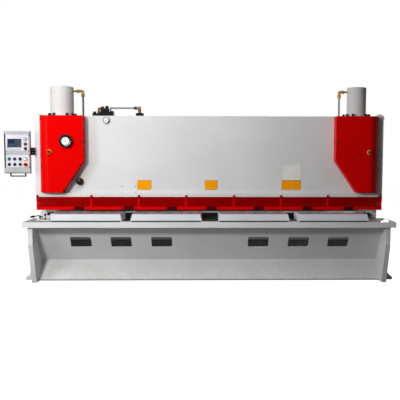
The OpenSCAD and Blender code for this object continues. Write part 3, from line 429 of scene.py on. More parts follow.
def moulded_plastic(name, colour, rough, grain=0.2, shine=0.08):
    """Moulded plastic: even colour with faint clouds and a fine spark-eroded grain."""
    material, tree, shader = new_surface(name)
    paler = tuple(min(1.0, c * 1.12 + 0.004) for c in colour)
    tree.links.new(between(tree, spread(tree, mottle(tree, 20.0, 3.0), 0.0, 1.0), colour, paler),
                   shader.inputs["Base Color"])
    tree.links.new(spread(tree, mottle(tree, 40.0, 2.0), rough - 0.06, rough + 0.06), shader.inputs["Roughness"])
    shader.inputs["Specular IOR Level"].default_value = shine
    raise_bumps(tree, shader, mottle(tree, 1500.0, 1.0), grain, 0.0001)
    return material


dress("yellow_plates", moulded_plastic("plate_yellow", (0.85, 0.31, 0.002), 0.4, shine=0.08))
dress("white_plate", moulded_plastic("plate_white", (0.72, 0.71, 0.68), 0.4, shine=0.1))
rivet = [(4.5, 0), (4.2, 1.2), (2.5, 2.2)]
corners = [(x, z) for x0, x1, z0, z1 in ((-949, -764, 1171, 1298), (-68, 97, 1171, 1298), (936, 1191, 1170, 1508))
           for x in (x0 + 9, x1 - 9) for z in (z0 + 9, z1 - 9)]
plate_edges = []
for x0, x1, z0, z1 in ((-949, -764, 1171, 1298), (-68, 97, 1171, 1298), (936, 1191, 1170, 1289),
                       (936, 1191, 1291, 1508)):
    for low, high in (((x0 + 1, z0 + 1), (x1 - 1, z0 + 3)), ((x0 + 1, z1 - 3), (x1 - 1, z1 - 1)),
                      ((x0 + 1, z0 + 3), (x0 + 3, z1 - 3)), ((x1 - 3, z0 + 3), (x1 - 1, z1 - 3))):
        plate_edges.append(eased_block((low[0], 447.4, low[1]), (high[0], 448.4, high[1]), 0.3))
made("panel_plugs", [turned([(3, 1.8), (5, 1.5), (6.8, 0)], at(x, 450.2, z), (0, -1, 0), 16)
                     for x in (-1146, -970) for z in (1133, 1215)], dark_cup)
edge_grey = moulded_plastic("edge_grey", (0.16, 0.15, 0.14), 0.5)
made("plate_edges", plate_edges, edge_grey)
rivet_steel = bare_metal("rivet_steel", (0.6, 0.6, 0.6), 0.3, 60.0)
made("plate_rivets", [turned(rivet, at(x, 448, z), (0, -1, 0), 14) for x, z in corners], rivet_steel)

# Finger guard: upright strips, five leaning louvres and a lower bar, bent sheet sprayed signal red.
# The bar is open at each hold-down window. Each strip hangs on the panel's band by a black bolt, and two screws
# stand beside each window.
gloss_red = enamel("gloss_red", (0.66, 0.0015, 0.0015), 0.36, peel=0.15, cloud=0.04, shine=0.02)
# The louvres take a darker red than the bar: painted shade on their downward-facing fronts.
louvre_painted_shade = enamel("louvre_painted_shade", (0.4, 0.001, 0.001), 0.45, peel=0.15, cloud=0.1, shine=0.01)
STRIP_PLACES = (-2232.5, -1537, -925, -311, 311, 925, 1537, 2232.5)
WINDOW_PLACES = (-1693, -1056, -493, 22, 638, 1278, 1818)
guard_front, guard_back = 396.0, 412.0


def bent_sheet(x0, x1, outline):
    """Sheet along X between two places: the closed outline (depth, height) in millimetres stands at both ends."""
    outline = np.asarray(outline, float)
    rows = [np.column_stack([np.full(len(outline), x), outline[:, 0] - 970.0, outline[:, 1]])
            for x in (x0, x0 + 1, x1 - 1, x1)]
    return np.stack(rows) / 1000.0


guard_pieces = [eased_block((x - 12.5, guard_front, 911), (x + 12.5, guard_back, 1107), 2.5) for x in STRIP_PLACES]
bar_edges = [-2245.0] + [x + half for x in WINDOW_PLACES for half in (-65.0, 65.0)] + [2245.0]
for x0, x1 in zip(bar_edges[::2], bar_edges[1::2]):
    guard_pieces.append(eased_block((x0, guard_front + 2, 911), (x1, guard_back, 954), 5.0, 5))
guard_bar = made("guard_bar", guard_pieces, gloss_red)
louvre_pitch = 25.4
louvres = [bent_sheet(-2244, 2244, [(guard_back - 0.5, z - 1), (guard_back - 0.5, z + 2), (guard_front + 3.5, z + 24.8),
                                    (guard_front + 2, z + 24.8), (guard_front + 2, z + 19)])
           for z in 954.0 + louvre_pitch * np.arange(5)]
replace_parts(guard_bar, "finger_guard")
made("guard_louvres", louvres, louvre_painted_shade, sharp=20.0)
# Near black red sheets close the bar's windows from behind: painted shade for the dark seen through them.
made("guard_window_shade", [eased_block((x - 66, guard_back - 3, 911), (x + 66, guard_back - 1, 953), 0.8)
                             for x in WINDOW_PLACES], enamel("window_shade_paint", (0.07, 0.003, 0.003), 0.5, shine=0.02))
button_head = [(4, 4.5), (4.2, 8), (6, 9.5), (10, 8.5), (13, 5), (14, 0)]
made("guard_bolts", [turned(button_head, at(x, 396, 1078), (0, -1, 0), 20) for x in STRIP_PLACES], black_oxide)
made("guard_screws", [turned([(3, 2), (3.2, 4), (6, 4.5), (9, 3), (10, 0)], at(x + dx, 398, 930), (0, -1, 0), 16)
                      for x in WINDOW_PLACES for dx in (-92, 92)], black_oxide)

# A black strip under the apron's lower lip, along the whole width between the side frames, is painted shadow: the dark
# line under the lip.
made("apron_painted_shadow", [eased_block((-2196, 270, 12.7), (2196, 292, 21.7), 1.5)], black_oxide)

# Hold-downs: sixteen small cylinders under the panel's shelf that press the sheet on the table.
# Each has a screwed gland at its lower end, a chromed rod and a steel foot with a rubber pad.
dark_enamel = enamel("dark_enamel", (0.05, 0.05, 0.055), 0.45, shine=0.1)
dress("hold_down_cylinders", dark_enamel)
dress("hold_down_feet", black_oxide)
hold_places = [(i - 7.5) * 260.0 for i in range(16)]
gland = [(18, 0), (30, 0), (31.8, 2), (31.8, 14), (29, 15), (29, 18), (32.6, 19)]
made("hold_down_glands", [turned(gland, at(x, 512, 955), sides=24) for x in hold_places], dark_cup)
pad_rubber = moulded_plastic("pad_rubber", (0.016, 0.015, 0.015), 0.6)
made("hold_down_pads", [turned([(24, -1.5), (26.5, -1), (27.6, 1), (27.6, 4)], at(x, 512, 902), sides=24)
                        for x in hold_places], pad_rubber, body="hold_downs")

# End covers: bent steel sheet in front of the cylinders, sprayed signal red with a high gloss.
# The outer corner is one large bend, the lower inner corner is cut off at a slant.
COVER_IN, COVER_BEND, COVER_RADIUS = 1615.0, 2039.8, 156.0


def cover_skin(side):
    """Cross section of the cover in depth and height, carried outwards along X. Its front follows the flat sheet
    and then the bend, and its lower edge the slant, with a 4 mm edge radius."""
    angle = np.radians(np.linspace(0, 84.1, 29))
    x = np.concatenate([[COVER_IN, COVER_IN + 1.2, COVER_IN + 4], np.linspace(1640, 1892, 14),
                        np.linspace(1915, COVER_BEND, 8), COVER_BEND + COVER_RADIUS * np.sin(angle[1:])])
    front = np.concatenate([np.full(25, 310.0), 466.0 - COVER_RADIUS * np.cos(angle[1:])])
    low = 1142.0 + np.clip((1892.0 - x) / 277.0, 0, 1) * 408.0
    draw_in = np.zeros(len(x))
    draw_in[:2] = (4.0, 1.2)
    edge = np.minimum(4.0, (449.0 - front) * 0.3)
    high = np.full(len(x), 2125.0)
    front = front + draw_in
    rows = [(front, low + edge + draw_in), (front, high - edge - draw_in),
            (front + edge * 0.3, high - edge * 0.3 - draw_in), (front + edge, high - draw_in),
            (np.full(len(x), 449.5), high - draw_in), (np.full(len(x), 449.5), low + draw_in),
            (front + edge, low + draw_in), (front + edge * 0.3, low + edge * 0.3 + draw_in)]
    return np.stack([np.stack([side * x, y - 970.0, z], axis=1) for y, z in rows], axis=1) / 1000.0


cover_red = enamel("cover_red", (0.66, 0.0008, 0.0008), 0.28, peel=0.06, cloud=0.03, shine=0.03)
for side, node in ((-1, "left_cover"), (1, "right_cover")):
    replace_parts(made(node + "_sheet", [cover_skin(side)], cover_red, sharp=28.0), node)
screw_spots = [(-2163.5, 369.0, 2082.0, -0.79, -0.61), (-2163.5, 369.0, 1474.0, -0.79, -0.61),
               (-1633.0, 311.0, 1792.0, 0.0, -1.0), (2163.5, 369.0, 2082.0, 0.79, -0.61),
               (2163.5, 369.0, 1474.0, 0.79, -0.61), (1633.0, 311.0, 1792.0, 0.0, -1.0)]
made("cover_screws", [turned([(3, 2), (3.2, 5), (8, 6), (11, 4), (12.5, 0)], at(x, y, z), (nx, ny, 0), 16)
                      for x, y, z, nx, ny in screw_spots], black_oxide)

# Main cylinders: turned steel barrels with a screwed cap, painted pale grey. The left bore is the larger one.
# Each flange is held by socket head bolts on the plate between the panel and the side frame.
barrel_enamel = enamel("barrel_enamel", (0.62, 0.62, 0.61), 0.42, peel=0.12, shine=0.02)
flange_bolts = []
for node, x, r, cham in (("left_cylinder", -1956.0, 152.0, 13.0), ("right_cylinder", 1956.0, 126.5, 5.0)):
    profile = [(40, 2098), (188, 2098), (190, 2100), (190, 2126), (188, 2128), (r + 6, 2128), (r + 1.5, 2130),
               (r, 2134), (r, 2432), (r - 2.5, 2434.5), (r - 3, 2437), (r - 0.6, 2438.6), (r, 2440),
               (r, 2520 - cham * 0.8 - 1), (r - 0.6, 2520 - cham * 0.8), (r - cham + 1, 2519.4),
               (r - cham - 2, 2520), (60, 2520), (58, 2518), (20, 2518)]
    barrel = made(node + "_barrel", [turned(profile, at(x, 674, 0), sides=96)], barrel_enamel)
    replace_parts(barrel, node)
    for turn in range(3, 360, 30):
        if turn != 273:
            spot = at(x + 171 * np.cos(np.radians(turn)), 674 + 171 * np.sin(np.radians(turn)), 2127)
            flange_bolts.append(turned([(8, 20), (8, 39), (9, 41), (16.5, 41), (18, 39.5), (18, 0)], spot, sides=24))
made("flange_bolts", flange_bolts, black_oxide)
chrome_rod = bare_metal("chrome_rod", (0.78, 0.78, 0.8), 0.15, 40.0, (1.0, 1.0, 20.0))
dress("piston_rods", chrome_rod)

# Ram guides, back gauge, levelling screws and bush: machined steel, lightly oiled.
# The back gauge's carriages run on two screws in bronze nuts, and its stop bar carries a ground strip.
ground_steel = bare_metal("ground_steel", (0.56, 0.57, 0.58), 0.32, 60.0, (1.0, 12.0, 12.0), metal=0.8)
for node in ("levelling_screws", "ram_guides", "back_gauge", "handwheel_bush"):
    dress(node, ground_steel)
turned_brass = bare_metal("turned_brass", (0.42, 0.27, 0.08), 0.34, 90.0, metal=0.75, stain=0.45)
gauge_nuts = []
for x in (-1430.0, 1430.0):
    flange = [(16, -14), (27, -13), (27, -5), (40, -4), (40, 4), (27, 5), (27, 13), (16, 14)]
    gauge_nuts.append(turned(flange, at(x, 1061, 1106), (0, 1, 0)))
made("gauge_nuts", gauge_nuts, turned_brass, body="ram")
made("gauge_stop_strip", [eased_block((-1695, 1066, 876), (1695, 1070, 916), 1.0)], ground_blade, body="ram")
gauge_bolts = [at(side * x, 680, z) for side in (-1, 1) for x in (1402, 1458) for z in (1084, 1266)]
made("gauge_bracket_bolts", [turned(socket_head, spot, (0, 1, 0), 20) for spot in gauge_bolts], black_oxide,
     body="ram")

# Pipes from the cylinders to the valve block: zinc plated steel tube in brass compression fittings.
# A fitting is a neck in the port, its hexagon, an elbow and the pipe's nut.
dull_pipe = bare_metal("dull_pipe", (0.1, 0.115, 0.11), 0.42, 80.0, metal=0.4)
pale_pipe = bare_metal("pale_pipe", (0.3, 0.31, 0.3), 0.4, 80.0, metal=0.4)
dress("left_pipe", dull_pipe)
dress("right_pipe", pale_pipe)
dress("pump_pipe", pale_pipe)


def hexagon(across, long):
    """Profile of a hexagonal nut with both ends turned to a cone, for six sides; across is over the corners."""
    corner = across / 2
    return [(corner * 0.5, 0), (corner * 0.88, 0), (corner, long * 0.12), (corner, long * 0.88),
            (corner * 0.88, long), (corner * 0.5, long)]


fittings = []
for side, barrel_x, x in ((-1, 1804.0, 1680.0), (1, 1829.5, 1722.0)):
    out = (side, 0, 0)
    nut_x = barrel_x - 78
    fittings.append(turned(hexagon(48, 30), at(side * (nut_x + 4), 674, 2463), out, 6))
    fittings.append(turned([(14, 0), (17, 3), (17, 9), (14, 12), (13, 44)], at(side * (nut_x + 34), 674, 2463), out))
    quarter = np.linspace(0, np.pi / 2, 9)
    bend = [at(side * (x + 16 - 16 * np.sin(t)), 674, 2447 + 16 * np.cos(t)) for t in quarter]
    fittings.append(swept([at(side * (nut_x + 6), 674, 2463)] + bend + [at(side * x, 674, 2418)], 0.0185, 20))
    fittings.append(turned([(17, 0), (20, 2), (20, 9), (17, 11)], at(side * x, 674, 2422)))
    fittings.append(turned(hexagon(54, 32), at(side * x, 674, 2391), sides=6))
    fittings.append(turned([(13.5, 0), (15, 1), (16.5, 6), (16.5, 9)], at(side * x, 674, 2383)))
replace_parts(made("brass_fittings", fittings, turned_brass, sharp=24.0), "pipe_fittings")

# Valve block on the tank's lid: a steel block with an elbow, two solenoids with their coils, a relief valve
# knob and small plugs. Black oxide and black moulded plastic, with a grey hose between the coils.
black_plastic = moulded_plastic("black_plastic", (0.01, 0.01, 0.011), 0.42)
dress("valve_manifold", black_oxide)
coils = []
for x, top in ((-1452.0, 2277.0), (-1394.0, 2285.0)):
    coils.append(eased_block((x - 25, 822, 2203), (x + 25, 878, 2248), 4.0))
    coils.append(turned([(20, 0), (23, 2), (23, top - 2262), (18, top - 2254), (8, top - 2249.6)], at(x, 850, 2249)))
    coils.append(turned(hexagon(26, 9), at(x, 850, top - 9.5), sides=6))
coils.append(turned([(21.5, 0), (21.5, 4), (19, 6), (19, 16), (21.5, 18), (21.5, 26), (18, 28)], at(-1561, 850, 2182)))
coils.append(eased_block((-1330, 806, 2206), (-1309, 900, 2216), 3.0))
made("valve_coils", coils, black_plastic)
valve_plugs = [turned(hexagon(32, 12), at(x, 802, z), (0, -1, 0), 6)
               for x in (-1560, -1480, -1400, -1335) for z in (2080, 2140)]
valve_plugs.append(swept([at(-1506, 850, 2180)] + [at(-1490 - 16 * np.cos(t), 850, 2236 + 16 * np.sin(t))
                                                   for t in np.linspace(0, np.pi / 2, 9)]
                         + [at(-1474, 850, 2252)], 0.016, 18))
valve_plugs.append(turned(hexagon(46, 22), at(-1506, 850, 2190), sides=6))
made("valve_plugs", valve_plugs, turned_brass)
hose = [at(-1423 + 21 * np.cos(t), 835 - 6 * np.sin(t), 2236 + 18 * np.sin(t)) for t in np.linspace(-0.2, np.pi + 0.2, 15)]
hose_rubber = moulded_plastic("hose_rubber", (0.12, 0.12, 0.12), 0.5)
made("valve_hose", [swept(hose, 0.006, 12)], hose_rubber)
elbow = [turned(hexagon(52, 42), at(-957, 878, 2192), sides=6),
         turned([(20, 0), (23, 2), (23, 12), (20, 16), (20, 46), (12, 49)], at(-957, 878, 2232)),
         turned(hexagon(42, 24), at(-1006, 878, 2259), (1, 0, 0), 6)]
made("pump_elbow", elbow, turned_brass)
made("pump_flange", [eased_block((-1004, 828, 2150), (-904, 928, 2190), 2.0)], black_oxide)
made("pump_pipe_nut", [turned(hexagon(44, 22), at(-1030, 878, 2259), (1, 0, 0), 6)], black_oxide)

# Handwheel on the left cover: a black moulded rim with finger grips, a white dial with ticks in its face, a red
# pointer and a chromed hub ring.
around = np.radians(np.arange(0, 360, 3))
grip = 73.5 + 1.2 * np.cos(around * 8)
rim_path = np.stack([-1830 + grip * np.cos(around), np.full(len(around), 276.0 - 970.0),
                     1798 + grip * np.sin(around)], axis=1) / 1000.0
tube = np.radians(np.arange(0, 360, 18))
outwards = np.stack([np.cos(around), np.zeros(len(around)), np.sin(around)], axis=1)
rim = rim_path[:, None] + 0.0115 * (np.cos(tube)[None, :, None] * outwards[:, None]
                                   + np.sin(tube)[None, :, None] * np.array((0.0, 1.0, 0.0)))


def closed_ring(name, ring, material, body="frame"):
    """Object from a ring of closed outlines (rows x columns x 3, in metres) whose last row joins the first."""
    rows, columns = ring.shape[:2]
    index = np.arange(rows * columns).reshape(rows, columns)
    down, beside = np.roll(index, -1, axis=0), np.roll(index, -1, axis=1)
    faces = np.stack([index, down, np.roll(down, -1, axis=1), beside], -1).reshape(-1, 4)
    mesh = bpy.data.meshes.new(name)
    mesh.from_pydata(ring.reshape(-1, 3).tolist(), [], faces.tolist())
    work = bmesh.new()
    work.from_mesh(mesh)
    bmesh.ops.recalc_face_normals(work, faces=work.faces)
    work.to_mesh(mesh)
    work.free()
    mesh.polygons.foreach_set("use_smooth", np.ones(len(mesh.polygons), bool))
    mesh.materials.append(material)
    obj = bpy.data.objects.new(name, mesh)
    bpy.context.scene.collection.objects.link(obj)
    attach(obj, body)
    return obj


dress("handwheel", black_plastic)
closed_ring("handwheel_rim", rim, black_plastic, "handwheel")
dial_white = moulded_plastic("dial_white", (0.8, 0.8, 0.79), 0.35)
dress("handwheel_dial", dial_white)
ticks = []
for k in range(40):
    t = 2 * np.pi * k / 40
    inner = 42.0 if k % 5 else 37.0
    ends = [at(-1830 + r * np.sin(t), 264.0 - 0.2, 1798 + r * np.cos(t)) for r in (inner, 48.0)]
    ticks.append(swept(ends, 0.0009 if k % 5 else 0.0013, 6))
made("dial_ticks", ticks, black_plastic, body="handwheel")
signal_red = moulded_plastic("signal_red", (0.42, 0.004, 0.004), 0.35)
made("dial_pointer", [swept([at(-1830, 262, 1798), at(-1842, 262, 1846)], [0.0035, 0.0012], 8)], signal_red,
     body="handwheel")
hub_chrome = bare_metal("hub_chrome", (0.7, 0.71, 0.73), 0.16, 60.0, metal=0.9)
section = np.array([(50.5, 0.5), (50.5, -2.4), (53, -3), (62, -3), (63.5, 0.5)]) / 1000.0
surround = np.array((-1.83, 0.264 - 0.97, 1.798)) + section[None, :, :1] * outwards[:, None]
surround[:, :, 1] += section[None, :, 1]
closed_ring("dial_surround", surround, black_plastic, "handwheel")
# A chrome arc round the dial's lower right only is a painted glint, the reflection on the rim there.
glint = np.radians(np.linspace(-100, 5, 30))
made("dial_painted_glint", [swept([at(-1830 + 63 * np.cos(t), 261, 1798 + 63 * np.sin(t)) for t in glint], 0.0035, 10)],
     hub_chrome, body="handwheel")
made("dial_hub", [turned([(13, 0), (13, 3), (11, 5), (7, 5.5), (6, 4)], at(-1830, 264, 1798), (0, -1, 0))], hub_chrome,
     body="handwheel")

# Emergency stops: a yellow collar screwed on the cover and a dark red mushroom head on a black stem.
stop_yellow = moulded_plastic("stop_yellow", (0.62, 0.52, 0.01), 0.4)
mushroom_red = moulded_plastic("mushroom_red", (0.2, 0.004, 0.004), 0.35)
collars, stems, heads = [], [], []
for x in (-2045.0, 2045.0):
    collars.append(turned([(22, 14), (22, 20), (27, 20), (29, 18), (29.8, 3), (29.8, 0)], at(x, 310, 1662), (0, -1, 0)))
    stems.append(turned([(13, 12), (13, 34), (12, 35)], at(x, 310, 1662), (0, -1, 0), 24))
    heads.append(turned([(12, 31), (20, 32), (22, 35), (22, 41), (19, 47), (12, 49.5)], at(x, 310, 1662), (0, -1, 0)))
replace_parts(made("stop_collars", collars, stop_yellow), "emergency_stops")
made("stop_stems", stems, black_plastic)
made("stop_heads", heads, mushroom_red)

# Blade gap knob: fluted blue black plastic over a yellow arc, with a white line on its face.
knob_blue = moulded_plastic("knob_blue", (0.008, 0.01, 0.02), 0.32, shine=0.08)
turn = np.radians(np.arange(0, 360, 5))
flute = 1.0 - 0.055 * (np.cos(turn * 12) > 0.2)
rows = []
for radius, lift, wave in ((34, 11, 1), (43, 13, 1), (46, 20, 1), (44, 50, 1), (41, 54, 1), (33, 55, 0)):
    size = radius * (flute if wave else np.ones(len(turn)))
    rows.append(np.stack([-1691 + size * np.cos(turn), np.full(len(turn), 450.0 - 970.0 - lift),
                          1281 + size * np.sin(turn)], axis=1))
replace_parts(made("gap_knob_grip", [np.stack(rows) / 1000.0], knob_blue, body="gap_knob",
                 sharp=50.0), "blade_gap_knob")
made("gap_knob_line", [eased_block((-1693, 394, 1286), (-1689, 396, 1312), 0.8)], dial_white, body="gap_knob")
dress("blade_gap_scale", moulded_plastic("scale_yellow", (0.6, 0.36, 0.02), 0.4))
made("gap_scale_ticks", [swept([at(-1691 + r * np.cos(t), 446.6, 1281 + r * np.sin(t)) for r in (42.5, 50.0)],
                               0.0008, 6) for t in np.radians(np.arange(-80, 81, 16))], black_plastic)

# Pressure gauge: steel blue bezel, white dial with ticks, black needle and a hub, behind a flat glass.
gauge_case = bare_metal("gauge_case", (0.06, 0.09, 0.13), 0.3, 60.0, metal=0.0)
dress("pressure_gauge", gauge_case)
made("gauge_dial", [turned([(34.4, 1), (34.4, 24.6), (34, 24.8), (10, 24.8)], at(-1341, 450, 2071), (0, -1, 0), 48)],
     dial_white)
gauge_marks = [swept([at(-1341 + r * np.sin(t), 424.8, 2071 + r * np.cos(t)) for r in (23.0, 31.0)], 0.0012, 6)
               for t in np.radians(np.arange(-135, 136, 27))]
gauge_marks.append(swept([at(-1341 + r * np.sin(-2.1), 423.6, 2071 + r * np.cos(-2.1)) for r in (-9.0, 24.0)],
                         [0.002, 0.0007], 8))
gauge_marks.append(turned([(6, 24), (6, 27), (4, 28)], at(-1341, 450, 2071), (0, -1, 0), 20))
made("gauge_marks", gauge_marks, black_plastic)

# Pendant control box: an aluminium extrusion, closed by end caps, with two satin front sheets let in.
# A black seal runs down its left edge, and every sheet is held by a black screw at each corner.
brushed_shell = bare_metal("brushed_shell", (0.44, 0.45, 0.47), 0.42, 80.0, (1.0, 1.0, 25.0), metal=0.15)
dress("pendant_box", brushed_shell)
dress("pendant_panels", bare_metal("front_sheet", (0.66, 0.65, 0.72), 0.42, 80.0, metal=0.1))
made("pendant_seal", [eased_block((-2622, 340.4, 1459), (-2606, 343, 1888), 1.0)], pad_rubber, body="pendant")
made("pendant_screws", [turned([(2.6, 0.6), (2.8, 2.4), (5, 3), (7, 2), (7.5, 0)], at(x, 342, z), (0, -1, 0), 16)
                        for x in (-2613, -2309) for z in (1874, 1673, 1620, 1470)], black_oxide, body="pendant")
screen_dark = moulded_plastic("screen_dark", (0.03, 0.045, 0.07), 0.25, shine=0.2)
made("pendant_screen", [eased_block((-2583, 336.6, 1716), (-2405, 339.4, 1826), 1.4)], screen_dark, body="pendant")
screen_navy = moulded_plastic("screen_navy", (0.004, 0.008, 0.05), 0.25, shine=0.2)
made("pendant_screen_field", [eased_block((-2577, 336, 1766), (-2490, 337, 1820), 0.4)], screen_navy, body="pendant")
key_green = moulded_plastic("key_green", (0.004, 0.11, 0.05), 0.4)
key_grey = moulded_plastic("key_grey", (0.3, 0.3, 0.32), 0.4)
made("pendant_key_green", [eased_block((-2455, 335, 1728), (-2437, 337.4, 1744), 1.0)], key_green, body="pendant")
made("pendant_key_red", [eased_block((-2432, 335, 1728), (-2414, 337.4, 1744), 1.0)], signal_red, body="pendant")
made("pendant_keys", [eased_block((x, 337.4, 1688), (x + 15, 339.6, 1701), 1.0) for x in range(-2584, -2410, 22)],
     key_grey, body="pendant")
made("pendant_strip", [eased_block((-2580, 338, 1683), (-2452, 339.4, 1686), 0.5),
                       eased_block((-2580, 338, 1703), (-2452, 339.4, 1706), 0.5)], dial_white, body="pendant")
white_rings, knobs, bright_knobs, pointers = [], [], [], []
for row, z in enumerate((1821.0, 1760.0, 1701.0)):
    spot = at(-2354, 342, z)
    white_rings.append(turned([(19, 0), (23, 0.6), (24, 2.4), (23, 4), (18, 4)], spot, (0, -1, 0), 32))
    knob = turned([(17, 3.5), (17.4, 6), (15.5, 9), (14.5, 20), (13, 22), (5, 22.4)], spot, (0, -1, 0), 24)
    (bright_knobs if row == 0 else knobs).append(knob)
    pointers.append(eased_block((-2355.2, 319, z + 2), (-2352.8, 320.4, z + 13), 0.6))
for row, z in enumerate((1570.0, 1501.0)):
    for column, x in enumerate((-2563.0, -2494.0, -2424.0)):
        if row or column:
            spot = at(x, 342, z)
            white_rings.append(turned([(19, 0), (22, 0.6), (22.6, 2), (21, 3.4), (18, 3.4)], spot, (0, -1, 0), 32))
            knobs.append(turned([(17.5, 3), (17.5, 12), (16, 14), (12, 14.4), (11, 13)], spot, (0, -1, 0), 32))
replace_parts(made("pendant_knobs", knobs, black_plastic, body="pendant"), "pendant_controls")
made("pendant_knob_rings", white_rings, key_grey, body="pendant")
made("pendant_bright_knob", bright_knobs, hub_chrome, body="pendant")
made("pendant_knob_lines", pointers, dial_white, body="pendant")
made("pendant_green_button", [turned([(19, 0), (20.5, 2), (20.5, 5), (17, 6), (17, 12), (15, 14), (6, 14.6)],
                                     at(-2563, 342, 1570), (0, -1, 0), 32)], key_green, body="pendant")
made("pendant_key_switch", [eased_block((-2376, 337, 1548), (-2332, 342, 1592), 4.0)], key_grey, body="pendant")
made("pendant_key_barrel", [turned([(14, 4), (15, 6), (15, 15), (12, 17), (5, 17)], at(-2354, 342, 1570), (0, -1, 0), 24)],
     hub_chrome, body="pendant")
made("pendant_key_slot", [eased_block((-2355.4, 324, 1564), (-2352.6, 326, 1576), 0.8)], black_plastic, body="pendant")
made("pendant_stop_collar", [turned([(20, 0), (26, 0.6), (26, 5), (22, 8), (18, 8)], at(-2354, 342, 1501),
                                    (0, -1, 0), 32)], stop_yellow, body="pendant")
made("pendant_stop_head", [turned([(12, 7), (12, 20), (20, 22), (22, 26), (21, 32), (15, 38), (6, 40)],
                                  at(-2354, 342, 1501), (0, -1, 0), 32)], signal_red, body="pendant")
dress("pendant_handle", black_plastic)
made("pendant_handle_ferrules", [turned([(8.3, -16), (11, -15), (11, -3), (13, -2), (13, 0)], at(x, 384, 1383), sides=24)
                                 for x in (-2560.5, -2370.5)], black_plastic, body="pendant")
hinge_black = moulded_plastic("hinge_black", (0.004, 0.004, 0.004), 0.5, shine=0.04)
dress("pendant_hinge", hinge_black)
made("pendant_hinge_leaf", [eased_block((-2303, 386.6, 1649), (-2264, 411.4, 1685), 1.0),
                            eased_block((-2303, 392, 1619), (-2286, 406, 1715), 1.0),
                            turned([(8, 0), (17.4, 0.4), (17.4, 35.4), (8, 35.8)], at(-2267, 399, 1649.1), sides=32)],
     hinge_black, body="pendant")
made("pendant_hinge_screws", [turned([(3, 1), (3.2, 3), (6, 3.6), (8, 2), (8.6, 0)], at(-2273, 470, z), (-1, 0, 0), 16)
                              for z in (1633, 1701)], black_oxide)

# Clamp on the left end of the table bar: a painted bracket, a post, a black knob, an egg-shaped grip and a ball
# grip. On the right end stand two ball knobs and a polished cap.
levers = []
profile_egg = [(3, 0), (6, 2), (9.5, 12), (11, 26), (10.5, 42), (8, 56), (5, 66), (4, 72)]
levers.append(turned([(r * 1.3, z) for r, z in profile_egg], at(-2267, 185, 841), (1.0, 0.0, 0.16), 24))
levers.append(swept([at(-2200, 185, 852), at(-2168, 185, 858), at(-2138, 185, 859)], 0.006, 12))
levers.append(turned([(6, 0), (15, 2), (23, 8), (24, 14), (20, 19), (6, 21)], at(-2135, 185, 832)))
levers.append(turned([(5, 0), (12, 3), (18, 8), (18, 14), (14, 20), (5, 24)], at(-2078, 185, 858)))
levers.append(turned([(5, 0), (5, 60)], at(-2078, 185, 804), sides=16))
ball = [(r, z) for r, z in zip(21 * np.sin(np.linspace(0.12, 3.0, 15)), -21 * np.cos(np.linspace(0.12, 3.0, 15)))]
levers.append(turned(ball, at(-2033.5, 185, 882), sides=28))
levers.append(turned([(4, 0), (8, 6), (10, 24), (9, 44), (6, 54), (3, 56)], at(-2022, 185, 892), (1.0, 0.0, 0.12), 20))
for x, z, r in ((2040.0, 866.0, 17.0), (2095.0, 846.0, 26.0)):
    sweep = np.linspace(0.1, 2.9, 15)
    levers.append(turned(list(zip(r * np.sin(sweep), -r * np.cos(sweep))), at(x, 470, z), sides=28))
    levers.append(turned([(8, 0), (8, 4), (6.5, 6), (6.5, z - 794 - r + 3)], at(x, 470, 794), sides=20))
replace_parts(made("lever_grips", levers, black_plastic), "table_levers")
bracket = [eased_block((-2180, 160, 794), (-2144, 210, 834), 4.0), eased_block((-2150, 160, 794), (-2028, 210, 806), 3.0),
           eased_block((-2039, 160, 800), (-2028, 210, 833), 2.0)]
made("lever_bracket", bracket, plate_enamel)
made("lever_post", [turned([(6, 0), (6, 104), (5, 107), (2, 108)], at(-2135, 185, 804), sides=16)], hub_chrome)
sweep = np.linspace(0.03, np.pi / 2, 12)
cap_polish = bare_metal("cap_polish", (0.97, 0.97, 0.98), 0.12, 60.0, metal=1.0, stain=0.97)
made("polished_cap", [turned([(61.5, 0)] + [(61.5 * np.sin(t), 40 * np.cos(t)) for t in sweep[::-1]],
                             at(2182, 62, 794), sides=48)], cap_polish)

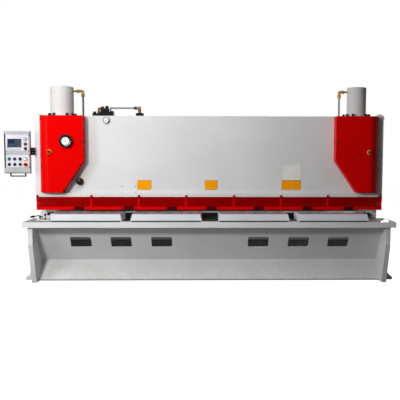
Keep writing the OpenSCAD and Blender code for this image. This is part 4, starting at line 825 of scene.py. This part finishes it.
# Oil tank: welded sheet with a flanged lid, a bolted cleaning hatch, a filler cap with its breather and a sight
# glass on its back. The pump motor lies beside it: cast ribs, a fan cover, a terminal box and a ring of bolts.
dress("oil_tank", pale_enamel)
hatch = [turned(hexagon(19, 8), at(-1152 + 112 * np.cos(t), 1174, 1840 + 112 * np.sin(t)), (0, 1, 0), 6)
         for t in np.radians(np.arange(0, 360, 30))]
lid_bolts = [turned(hexagon(18, 8), at(x, y, 2040), sides=6) for x in np.linspace(-1590, -730, 8) for y in (757, 1163)]
made("tank_bolts", hatch + lid_bolts, black_oxide)
made("tank_filler", [turned([(34, 0), (36, 3), (30, 6), (30, 40), (38, 44), (39, 66), (35, 72), (10, 74)],
                            at(-820, 1080, 2040))], black_plastic)
sight_green = moulded_plastic("sight_green", (0.25, 0.2, 0.03), 0.15, shine=0.4)
made("tank_sight_glass", [eased_block((-836, 1160, 1790), (-804, 1174, 1930), 6.0)], sight_green)
made("tank_sight_frame", [turned(hexagon(30, 8), at(-820, 1160, z), (0, 1, 0), 6) for z in (1778, 1942)], turned_brass)
motor_enamel = enamel("motor_enamel", (0.1, 0.14, 0.2), 0.4, shine=0.15)
dress("pump_motor", motor_enamel)
fins = []
for t in np.radians(np.arange(0, 360, 10)):
    if not 60 < np.degrees(t) < 120 and not 225 < np.degrees(t) < 315:
        y, z = 960 + 128 * np.cos(t), 1805 + 128 * np.sin(t)
        fins.append(swept([at(-620, y, z), at(-612, y, z), at(-292, y, z), at(-284, y, z)], [0.002, 0.006, 0.006, 0.002], 8))
made("motor_fins", fins, motor_enamel)
slots = [turned([(r - 4, 0), (r, 1.5), (r + 4, 0)], at(-223, 960, 1805), (1, 0, 0), 40) for r in (30, 52, 74, 96, 116)]
made("motor_fan_rings", slots, black_oxide)
motor_bolts = [turned(hexagon(20, 9), at(-622, 960 + 84 * np.cos(t), 1805 + 84 * np.sin(t)), (-1, 0, 0), 6)
               for t in np.radians(np.arange(15, 375, 60))]
made("motor_bolts", motor_bolts, black_oxide)
